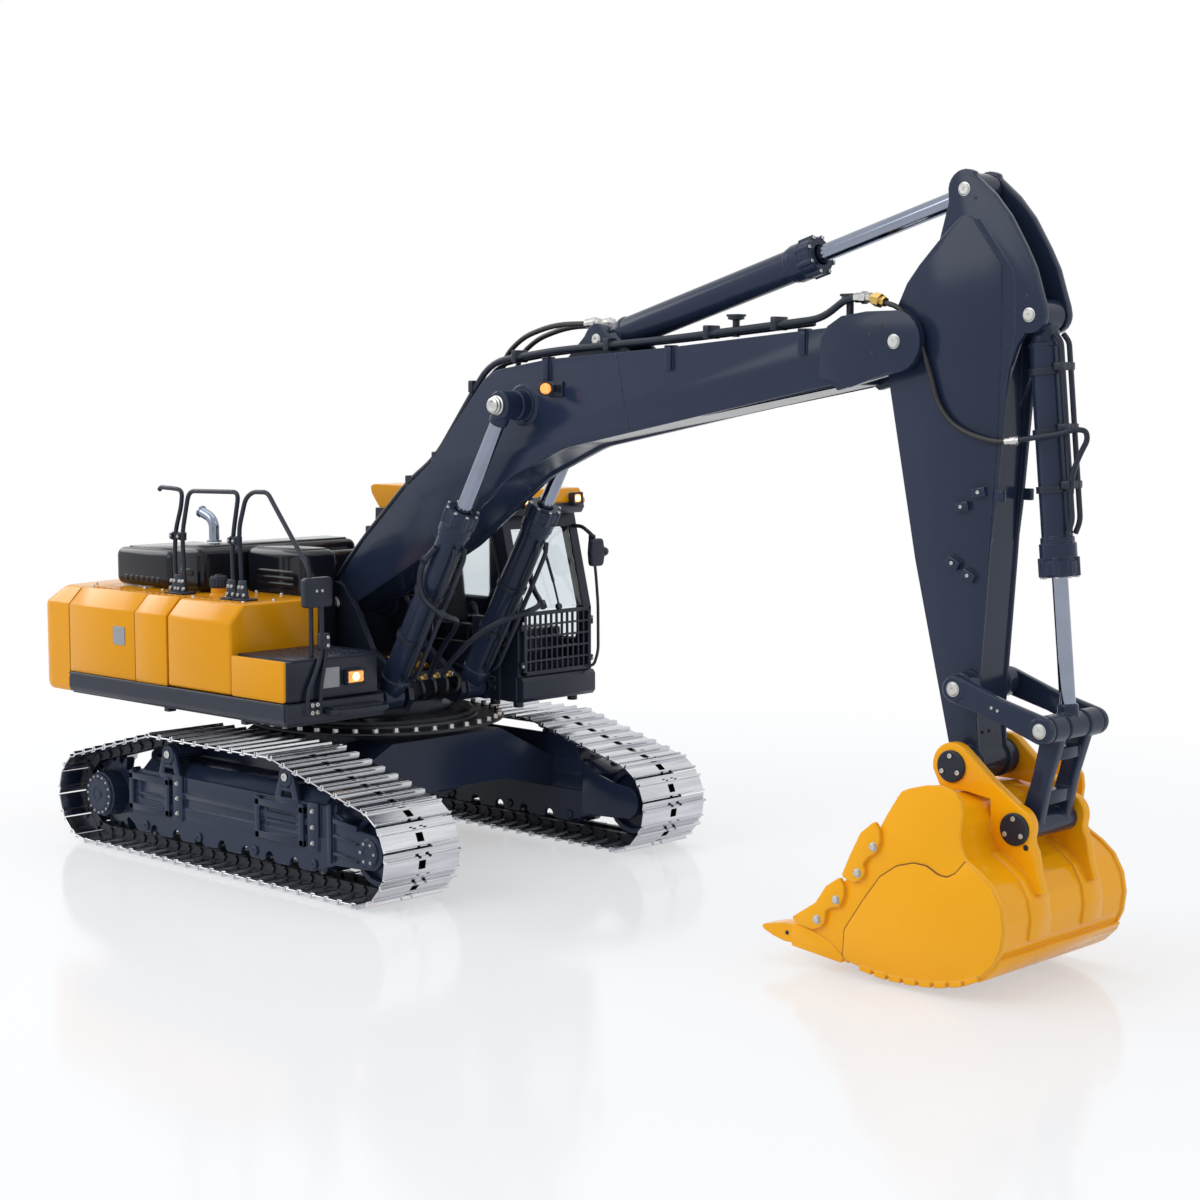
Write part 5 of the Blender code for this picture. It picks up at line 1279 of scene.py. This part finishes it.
tube(line, [(503, -15.6, 273.8), (512, -15.4, 275.2), (526, -13.0, 277.4), (533, -10.6, 279.6),
            (538, -9.0, 279), (538.2, -8.0, 274.5), (533, -6.4, 267), (527.6, -4.0, 258),
            (527.0, -3.8, 248)], 1.4, 5.0)
newPiece("bucketFeedLine", line, blackPowder,
         ("stick_body", "bucket_barrel_body", at(505, -15, 274), at(522, -13, 277)))
print("stick built")

# Bucket linkage: rocker arms with boss ends, and a windowed link on cross tubes
linkSize = dict(armIn=22.0, armOut=26.0, linkIn=9.0, linkOut=15.0)
m = linkSize


def barLine(first, second, radius, waist):
    # a bar with round ends, drawn in by the waist at its middle
    run = Vector(second) - Vector(first)
    lean = math.degrees(math.atan2(run.y, run.x))
    sag = Vector((-run.y, run.x)).normalized() * (radius - waist)
    middle = (Vector(first) + Vector(second)) / 2
    return (arcPoints(first, radius, lean + 90, lean + 270, 10) + [tuple(middle - sag)]
            + arcPoints(second, radius, lean - 90, lean + 90, 10) + [tuple(middle + sag)])


def between(first, second, share):
    return Vector(pins[first]).lerp(Vector(pins[second]), share)


rocker, pale, link = meshes(3)
for side in hands:
    slab(rocker, barLine(pins["rocker"], pins["rodEnd"], 7.0, 1.2), side * m["armIn"],
         side * m["armOut"], 0.8, 3)
    for pin in ("rocker", "rodEnd"):
        crossTube(rocker, pin, side * 22.0, side * 26.8, 6.6, 0.6)
        pinEnd(pale, pin, side * 26.7, side, 3.3, 1.3)
    for share in (0.45, 0.52):
        spot = between("rocker", "rodEnd", share)
        capScrew(pale, at(spot.x, side * 25.9, spot.y), (0, side, 0), 1.7, 0.9)
    slab(link, barLine(pins["rodEnd"], pins["link"], 6.0, 1.4), side * m["linkIn"],
         side * m["linkOut"], 0.9, 3)
    crossTube(link, "rodEnd", side * 9.6, side * 21.6, 7.2)
crossTube(rocker, "rocker", -26, 26, 3.5)
newPiece("rockerArms", rocker, navyEnamel, "rocker_body", "rocker")
newPiece("rockerPinEnds", pale, zincPlate, "rocker_body")
crossTube(link, "link", -20.0, 20.0, 6.6)
for share, tall in ((0.27, 3.2), (0.72, 3.6)):
    x, z = between("rodEnd", "link", share)
    slab(link, roundOff([(x - 4, z - tall), (x + 4, z - tall), (x + 5, z + tall), (x - 3, z + tall)], 1.0),
         -10, 10, 0.6)
newPiece("bucketLink", link, navyEnamel, "link_body", "bucket_link")
print("linkage built")

# Bucket: rolled back sheet, proud cheek plates, wear plates, side cutters, ears, adaptors and teeth
bucketSize = dict(half=56.0, cheek=3.0, sheet=2.6, wear=0.9, shadeLine=0.45, cutter=2.4, earIn=20.6,
                  earOut=26.6, teeth=5, toothWide=11.0, toothIn=5.3, strips=8, stripFirst=441.0,
                  stripPitch=9.2, stripLong=7.4)
s = bucketSize
backLine = [(504.3, 71.0), (513.0, 66.1), (520.4, 60.1), (525.8, 50.7), (527.6, 40.6), (526.2, 30.0),
            (521.8, 20.9), (515.4, 14.6), (504.3, 9.2), (489.4, 5.6), (471.7, 3.9), (456.1, 4.0),
            (445.5, 5.2), (432.1, 7.8)]
cheekLine = [(465.3, 99.8), (469.9, 101.8), (480.0, 104.6), (490.0, 105.6), (497.0, 103.8), (501.0, 98.6),
             (501.7, 92.4), (500.9, 85.7), (500.4, 80.8), (501.6, 75.8)] + backLine
cheekLine += [(402, 15.0), (400.6, 20.9), (412.7, 30.7), (431.5, 50.2), (444.5, 66.3), (452.2, 79.4),
              (457.3, 88)]
wearTop = roundOff([(430.3, 10.4), (431.2, 24.2), (443.0, 41.4), (453.4, 54.9), (463.7, 61.9), (473.9, 64.9),
                    (481.5, 64.6), (489.1, 61.1), (494.1, 60.7), (499.0, 63.5), (504.4, 69.8)],
                   5.0, 3, False)
cutterLines = (
    [(450.5, 83.0), (453.6, 79.2), (454.0, 72.9), (451.2, 66.9), (446.4, 63.9), (443.6, 60.2), (445.0, 56.5),
     (442.8, 52.2), (437.8, 49.6), (430.0, 51.8), (435.4, 63.6), (442.0, 76.0)],
    [(428.9, 51.2), (431.8, 46.6), (431.6, 41.4), (428.8, 35.5), (423.4, 34.5), (419.9, 32.1), (419.6, 27.4),
     (417.4, 23.4), (411.6, 21.0), (399.6, 22.6), (400.9, 27.4), (413.4, 35.5), (420.2, 45.2)])
earLine = [(463.2, 107.5)] + arcPoints(pins["bucket"], 12, 185, 45, 10) + [(499.5, 105.0), (514.5, 94.8)]
earLine += arcPoints((512.6, 84.4), 10.4, 58, -12, 6)
earLine += [(522.2, 79.0), (522.6, 76.5), (524.6, 72.6), (526.6, 62), (529.6, 52), (524, 52), (514, 63),
            (503, 69), (498, 80), (498, 96), (484, 98), (468, 98)]
toothSpots = [(s["half"] - s["toothIn"]) * (2 * n / (s["teeth"] - 1) - 1) for n in range(s["teeth"])]


def alongStrip(line, outer, inner):
    # a band between two offsets of an open line, outward positive
    spots = [Vector(p) for p in line]
    left, right = [], []
    for n, p in enumerate(spots):
        run = (spots[min(n + 1, len(spots) - 1)] - spots[max(n - 1, 0)]).normalized()
        normal = Vector((-run.y, run.x))
        left.append(tuple(p + normal * outer))
        right.append(tuple(p + normal * inner))
    return left + right[::-1]


def backHeight(x):
    # height of the bucket's underside at x
    rising = backLine[::-1]
    for (x0, z0), (x1, z1) in zip(rising, rising[1:]):
        if x0 <= x <= x1:
            return z0 + (z1 - z0) * (x - x0) / (x1 - x0)


cheekLine = roundOff(cheekLine, 5.0)
wearLine = wearTop + alongStrip(backLine, -1.0, -1.2)[1:len(backLine)]
sheetLine = roundOff([(462, 97.4), (480, 98.6), (495, 94.4), (499.6, 86.0), (500.4, 77)] + backLine,
                     6.0, 4, False)
gussetLine = alongStrip(roundOff(backLine[:6], 6.0, 4, False), 0.2, -1.4)
bucket, seams, caps, bolts = meshes(4)
slab(bucket, alongStrip(sheetLine, -1.0, -1.0 - s["sheet"]), 1.0 - s["half"], s["half"] - 1.0, 0.0)
for side in hands:
    slab(bucket, cheekLine, side * (s["half"] - s["cheek"]), side * s["half"])
    slab(bucket, wearLine, side * (s["half"] - 0.4), side * (s["half"] + s["wear"]), 0.3)
    tube(seams, [(x, side * (s["half"] + s["shadeLine"]), z) for x, z in wearTop], s["shadeLine"], 0.5, 8)
    for outline in cutterLines:
        slab(bucket, roundOff(outline, 1.6), side * (s["half"] - 0.4), side * (s["half"] + s["cutter"]), 0.6)
    slab(bucket, earLine, side * s["earIn"], side * s["earOut"], 0.9, 3)
    slab(bucket, gussetLine, side * 15.0, side * 33.0, 0.4)
    for n in range(s["strips"]):
        first = s["stripFirst"] + n * s["stripPitch"]
        last = first + s["stripLong"]
        a, b = backHeight(first), backHeight(last)
        slab(bucket, [(first, a - 1.3), (last, b - 1.3), (last, b + 2), (first, a + 2)], side * 46.0,
             side * 57.2, 0.4, 1)
    for pin in ("bucket", "link"):
        lathe(caps, [(8.2, -0.2), (8.2, 1.2), (7.6, 1.8)], across(pin, side * s["earOut"]), (0, side, 0), 36)
        for x, z in ringSpots(pins[pin], 5.4, 3, 90):
            capScrew(bolts, at(x, side * 28.3, z), (0, side, 0), 2.6, 1.0)
    lathe(caps, [(1.6, 0), (1.5, 0.3)], at(519.4, side * 26.5, 74.6), (0, side, 0), 14)
    for y in toothSpots:
        lathe(caps, [(1.2, 0), (1.1, 0.4)], at(393.4, y + side * (s["toothWide"] / 2 - 0.1), 16),
              (0, side, 0), 12)
    for x, z in ((450.2, 70.0), (440.4, 55.2), (427.0, 39.2), (414.8, 27.0)):
        hexBolt(bolts, at(x, side * 58.3, z), (0, side, 0), 3.6, 1.8)
slab(bucket, alongStrip([(523.6, 24.4), (521.8, 20.9), (515.4, 14.6), (511, 12.0)], 1.4, -1.6), -54.5,
     54.5, 0.4)
slab(bucket, [(397, 13.2), (433, 6.4), (433.6, 10.4), (401, 18.6)], -55.4, 55.4, 0.6)
crossTube(bucket, "bucket", -21.6, 21.6, 4.0)
for y in (-13.0, 13.0):
    slab(bucket, [(477, 97), (500, 97), (503, 84), (499, 76)], y - 1.4, y + 1.4, 0.4)
half = s["toothWide"] / 2
toothRings = ((399, half, 11.4, 20.4), (392, half, 11.2, 21.0), (384, half - 0.3, 12.8, 19.6),
              (377.4, half - 0.8, 15.0, 18.0), (375.8, half - 1.2, 15.8, 17.2))
for y in toothSpots:
    slab(bucket, [(397.0, 9.8), (429.4, 6.4), (431.0, 9.6), (420.5, 17.2), (408.4, 20.6), (400.6, 22.6),
                  (396.6, 21.0)], y - 6.5, y + 6.5, 0.6)
    loft(bucket, [[at(x, y - h, low), at(x, y + h, low), at(x, y + h, high), at(x, y - h, high)]
                  for x, h, low, high in toothRings])
newPiece("diggingBucket", bucket, yellowEnamel, "bucket_body", "bucket", sharp=30.0)
# painted shade: a thin dark line along the top edge of each wear plate, where the plate's edge casts shade
newPiece("wearPlateShadeLines", seams, jointSealant, "bucket_body")
newPiece("bucketPinCaps", caps, blackPowder, "bucket_body")
newPiece("bucketBolts", bolts, zincPlate, "bucket_body")
print("bucket built")

# Track frames: box beam with sloped roof, framed pockets, bolted flanges, pedestals, roller guards, yoke
frameSize = dict(half=14.0, low=24.0, ridge=42.0, guardLow=12.0, guardIn=12.0, guardOut=15.0, skin=13.2,
                 proud=17.2, bar=4.6, pockets=((-102.0, -58.0), (31.0, 78.0)), flanges=(-50.0, 86.0),
                 noseFlange=102.0, pedestals=(60.0, -60.0), pedestalTop=67.2, wheel=(137.0, 31.0),
                 motor=12.5, cover=13.6, rollers=(-86.0, -28.7, 28.7, 86.0), scallops=8, scallopPitch=24)
f = frameSize
motor, floorZ = f["motor"], f["guardLow"]
rear = (-f["wheel"][0], f["wheel"][1])
scallop = [(-102, 34), (-102, 18)]
for n in range(f["scallops"]):
    start = -96 + n * f["scallopPitch"]
    scallop += [(start - 1.5, floorZ + 1.2), (start, floorZ), (start + 13, floorZ),
                (start + 14.5, floorZ + 1.2)]
    if n < f["scallops"] - 1:
        scallop += arcPoints((start + 18.25, floorZ + 2.2), 4.0, 180, 0, 6)
scallop += [(104, 18), (104, 34)]
yoke = [(98, 18.4), (126, 19.6)] + arcPoints(f["wheel"], 11, -70, 70, 12) + [(126, 42.6), (98, 50)]
rollerHeads, frameBolts = meshes(2)
for label, side in sides:
    middle = side * trackSize["middle"]
    out, inward = (0, side, 0), (0, -side, 0)
    beam, cover, coverScrews = meshes(3)

    def plate(outline, inner, outer, bevel=0.5, rounds=2):
        slab(beam, outline, middle + side * inner, middle + side * outer, bevel, rounds)

    def outward(x, depth, z):
        return at(x, middle + side * depth, z)

    plate(roundOff([(-104, f["low"]), (106, f["low"]), (111.6, 32), (111.6, 47), (97, 53), (-93, 53),
                    (-104, 47)], 2.0), -f["half"], f["half"], 1.0)
    roofTop = f["pedestalTop"] - 6
    section = ((13.4, 48), (13.4, 51), (4, 60), (-4, roofTop), (-13.4, roofTop), (-13.4, 48))
    slab(beam, [(middle + side * y, z) for y, z in section], -94, 92, 0.8, plane="YZ")
    plate(roundOff([(-118, 44), (98, 44), (94, 58), (84, 69), (-100, 69), (-118, 58)], 4.0, 4), -13.9, -11.6)
    plate(rect(-56, 39.4, 80, f["ridge"] + 1.2, 0.8, 2), f["skin"], 15.4, 0.7)
    plate(rect(-46, 26.6, 30, 28.4), f["skin"], 14.9, 0.4)
    for first, last in f["pockets"]:
        bar = f["bar"]
        for corners in ((first, 26, first + bar, 52), (last - bar, 26, last, 52),
                        (first, 26, last, 26 + bar), (first, 46, last, 46 + bar)):
            plate(rect(*corners), f["skin"], f["proud"], 0.7)
        plate(rect(first + 3, 36.4, last - 3, 38.4), f["skin"], 15.2)
        for x in (first + bar, last - bar - 5):
            plate(rect(x, 31.0, x + 5, 45.4), f["skin"], 14.8, 0.4)
    for x in f["flanges"]:
        plate(rect(x - 5, 24.6, x + 5, 54, 1.6), 13.0, 16.2)
        for z in (29.6, 39.2, 48.8):
            hexBolt(frameBolts, outward(x, 16.2, z), out, 2.1, 1.4)
    plate(rect(f["noseFlange"] - 2, 20, f["noseFlange"] + 2, 55, 0.8, 2), 11.8, f["proud"])
    for x in f["pedestals"]:
        for lean in hands:
            plate([(x + lean * 7.6, 47), (x + lean * 13.6, 47), (x + lean * 6.4, 68), (x + lean * 1.6, 68)],
                  12.2, 15.2)
        plate([(x - 10, 50), (x + 10, 50), (x + 9, 54), (x - 9, 54)], 12.2, 15.8, 0.6)
        plate([(x - 7.6, 57.4), (x + 7.6, 57.4), (x + 6.8, 60.0), (x - 6.8, 60.0)], 12.2, 14.9, 0.4)
        lathe(beam, [(6.2, 0), (6.2, 3.6), (5.6, 4.2), (3.6, 4.2), (3.4, 3.6)], outward(x, 12.1, 66.4), out)
        lathe(frameBolts, [(2.7, 0), (2.7, 1.2), (2.2, 1.7), (0.8, 1.7), (0.6, 1.2)],
              outward(x, 15.6, 66.4), out, 20)
    for face in hands:
        plate(scallop, face * f["guardIn"], face * f["guardOut"], 0.4, 1)
        plate(yoke, face * f["guardIn"], face * (f["guardOut"] + 0.3), 0.8)
        for x in f["rollers"]:
            lathe(rollerHeads, [(3.0, 0), (3.0, 0.9), (2.4, 1.5), (1.0, 1.5), (0.8, 0.9)],
                  outward(x, face * f["guardOut"], 16.8), (0, side * face, 0), 20)
    for z, tall in ((44.4, 3.0), (36.2, 2.0), (25.4, 2.0)):
        plate([(105, z), (127, z - 2.4), (127, z - 2.4 + tall), (105, z + tall)], 14.6, 16.9, 0.7)
    lathe(beam, [(8.4, 0), (8.4, 1.6), (7.6, 2.2), (4.2, 2.2), (3.8, 1.5)],
          outward(f["wheel"][0], 15.0, f["wheel"][1]), out, 32)
    for x, z in ringSpots(f["wheel"], 6.0, 6):
        capScrew(frameBolts, outward(x, 17.0, z), out, 1.9, 0.9)
    plate(roundOff([(-145, 20), (-96, 26), (-96, 52), (-145, 42)], 4.0, 4), -16.2, -10.9, 0.8)
    lathe(beam, [(9.4, 0), (motor - 0.1, 1.4), (motor, 5), (motor, 8), (11.0, 8.6), (11.0, 13),
                 (motor - 0.3, 13.6), (motor - 0.3, 17), (9.6, 17.8), (9.6, 22.4), (8.4, 23.4), (3.0, 23.4),
                 (2.4, 22.6)], outward(rear[0], -10.5, rear[1]), inward, 40)
    for x, z in ringSpots(rear, 10.6, 8):
        hexBolt(frameBolts, outward(x, -27.4, z), inward, 1.8, 1.3)
    newPiece(f"{label}TrackFrame", beam, navyEnamel, "undercarriage", f"{label}_track_frame")

    # drive cover: stepped disc with a ring of screws and a centre plug
    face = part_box(f"{label}_sprocket")[1 if side > 0 else 0][1] / mm
    lathe(cover, [(f["cover"], -1.2), (f["cover"], -0.4), (f["cover"] - 0.6, 0.2), (10.6, 0.2), (10.2, 0.9),
                  (5.4, 0.9), (5.0, 0.3), (3.2, 0.3), (2.8, 1.1)], at(rear[0], face, rear[1]), out, 40)
    newPiece(f"{label}DriveCover", cover, navyEnamel, f"{label}_sprocket_body")
    for x, z in ringSpots(rear, 12.2, 16):
        capScrew(coverScrews, at(x, face + side * 0.1, z), out, 1.7, 0.8)
    newPiece(f"{label}DriveScrews", coverScrews, zincPlate, f"{label}_sprocket_body")
newPiece("rollerHeads", rollerHeads, navyEnamel, "undercarriage")
newPiece("frameBolts", frameBolts, zincPlate, "undercarriage")
print("track frames built")

# Slewing ring flange with its circle of bolts
slewSize = dict(inner=60.0, outer=83.6, low=83.2, thick=2.0, lip=2.0, circle=80.4, bolts=40)
inner, outer, thick = (slewSize[k] for k in ("inner", "outer", "thick"))
crest = thick + slewSize["lip"]
flange, slewBolts = meshes(2)
lathe(flange, [(inner, 0), (outer - 0.5, 0), (outer, 0.5), (outer, thick - 0.5), (outer - 0.5, thick),
               (66.4, thick), (65.8, thick + 1.6), (64.6, crest), (inner, crest), (inner, 0)],
      at(0, 0, slewSize["low"]), upward, 96)
newPiece("slewFlange", flange, castIron, "undercarriage")
for spot in ringSpots((0, 0), slewSize["circle"], slewSize["bolts"], 4):
    hexBolt(slewBolts, at(*spot, slewSize["low"] + thick), upward, 3.6, 2.8)
newPiece("slewBolts", slewBolts, zincPlate, "undercarriage")

# Valve bar between the boom brackets: a black manifold with seven fittings and four supply hoses
barSize = dict(near=46.0, far=52.4, half=19.6, low=112.4, high=118.0, fittings=7, pitch=5.4)
v = barSize
far, z = v["far"], (v["low"] + v["high"]) / 2
manifold, brass, elbows, supply = meshes(4)
block(manifold, (v["near"], -v["half"], v["low"]), (far, v["half"], v["high"]), 0.8)
newPiece("valveBar", manifold, blackPowder, "upper")
for n in range(v["fittings"]):
    y = v["pitch"] * (n - (v["fittings"] - 1) / 2)
    nut, stem = (elbows, brass) if n % 2 else (brass, elbows)
    lathe(nut, [(1.9, 0), (1.9, 1.8)], at(far, y, z), forward, 6)
    lathe(stem, [(1.2, 1.6), (1.2, 3.2), (1.6, 3.5), (1.6, 4.9), (1.0, 5.4)], at(far, y, z), forward, 16)
    if n % 2 == 0:
        tube(supply, [(far + 5, y, z), (far + 10, y, z - 1), (far + 11.5, y * 0.9, z - 9),
                      (far + 4, y * 0.8, z - 13)], 1.3, 5.0, 10)
newPiece("valveFittings", brass, turnedBrass, "upper")
newPiece("valveElbows", elbows, zincPlate, "upper")
newPiece("valveHoses", supply, hoseRubber, "upper")

# Barrel pipes: each leaves the top of a boom cylinder, loops back beside it and crosses to the valve bar
pipeRun = [(110, 45.5, 203), (101, 47, 195), (95.5, 47, 184), (99, 47, 171), (112, 43, 162), (111, 30, 158),
           (98, 18, 152), (80, 11, 140), (64, 7, 124), (58.2, 5.4, 115.4)]
for label, side in sides:
    pipe = bmesh.new()
    run = [(x, side * y, z) for x, y, z in pipeRun]
    tube(pipe, run, 1.8, 9.0)
    for n, lean in ((1, -0.7), (4, 0.7)):
        lathe(pipe, [(2.6, -2.2), (2.6, 2.2)], at(*run[n]), (lean, side * -0.3, -0.7), 6)
    newPiece(f"{label}BarrelPipe", pipe, blackPowder,
             (f"{label}_boom_barrel_body", "upper", at(106, side * 36, 160), at(72, 0, 132)))
print("slewing ring and valve bar built")

# Left side and rear, after the seen side: louvres, latches, door seam, hinges and grip, weight fittings
leftSize = dict(door=128.0, cab=118.0, louvres=6, louvrePitch=4.6, louvreLow=120.0, weightRear=-213.4)
door, cab, rearX = (leftSize[k] for k in ("door", "cab", "weightRear"))
louvres, trim, keys = meshes(3)
for n in range(leftSize["louvres"]):
    z = leftSize["louvreLow"] + n * leftSize["louvrePitch"]
    slab(louvres, [(door - 0.8, z), (door + 1.1, z), (door + 1.1, z + 0.8), (door - 0.8, z + 3.0)], -106,
         -76, 0.3, 1, "YZ")
newPiece("doorLouvres", louvres, amberEnamel, "upper")
for x in (-118.5, -68.5):
    slab(trim, rect(x - 2.6, 130, x + 2.6, 140, 1.2), door - 0.5, door + 0.7, 0.3, 1)
    lathe(keys, [(1.3, 0), (1.3, 0.5), (0.5, 0.5), (0.4, 0.2)], at(x, door + 0.6, 137), leftward, 16)
doorSeam = [(72, 114.6), (75, 114.6), (75, 128), (60.5, 209), (-6, 209), (-9.4, 206), (-9.4, 114.6),
            (20, 114.6), (72, 114.6)]
tube(trim, [(x, cab + 0.1, z) for x, z in doorSeam], 0.6, 4.0, 8)
for x, z in ((72.6, 142), (64.6, 186)):
    lathe(trim, [(2.0, 0), (2.2, 0.3), (2.2, 8.7), (2.0, 9)], at(x, cab + 1.2, z), (-0.18, 0, 1), 16)
tube(trim, [(-5.4, cab - 0.4, 148), (-5.4, cab + 3.4, 148), (-5.4, cab + 3.4, 166), (-5.4, cab - 0.4, 166)],
     1.1, 2.0, 10)
slab(trim, rect(-8.0, 134, -2.8, 143, 1.0), cab - 0.4, cab + 0.8, 0.3, 1)
lathe(keys, [(1.2, 0), (1.2, 0.5), (0.5, 0.5), (0.4, 0.2)], at(-5.4, cab + 0.7, 137), leftward, 16)
for y in (-62, 62):
    lathe(trim, [(5.2, -0.6), (5.2, 0.5), (4.6, 0.9), (2.6, 0.9), (2.2, 0.2)], at(-188, y, 167), upward, 24)
lathe(trim, [(8.6, -2), (8.6, 1.0), (7.8, 1.6), (5.0, 1.6), (4.6, -0.8)], at(rearX, 0, 112), (-1, 0, 0), 32)
lathe(keys, [(3.0, -1.4), (3.0, 1.4), (2.5, 1.9)], at(rearX, 0, 112), (-1, 0, 0), 24)
newPiece("leftTrim", trim, blackPowder, "upper")
newPiece("keyDiscs", keys, zincPlate, "upper")
print("left side and rear fitted")
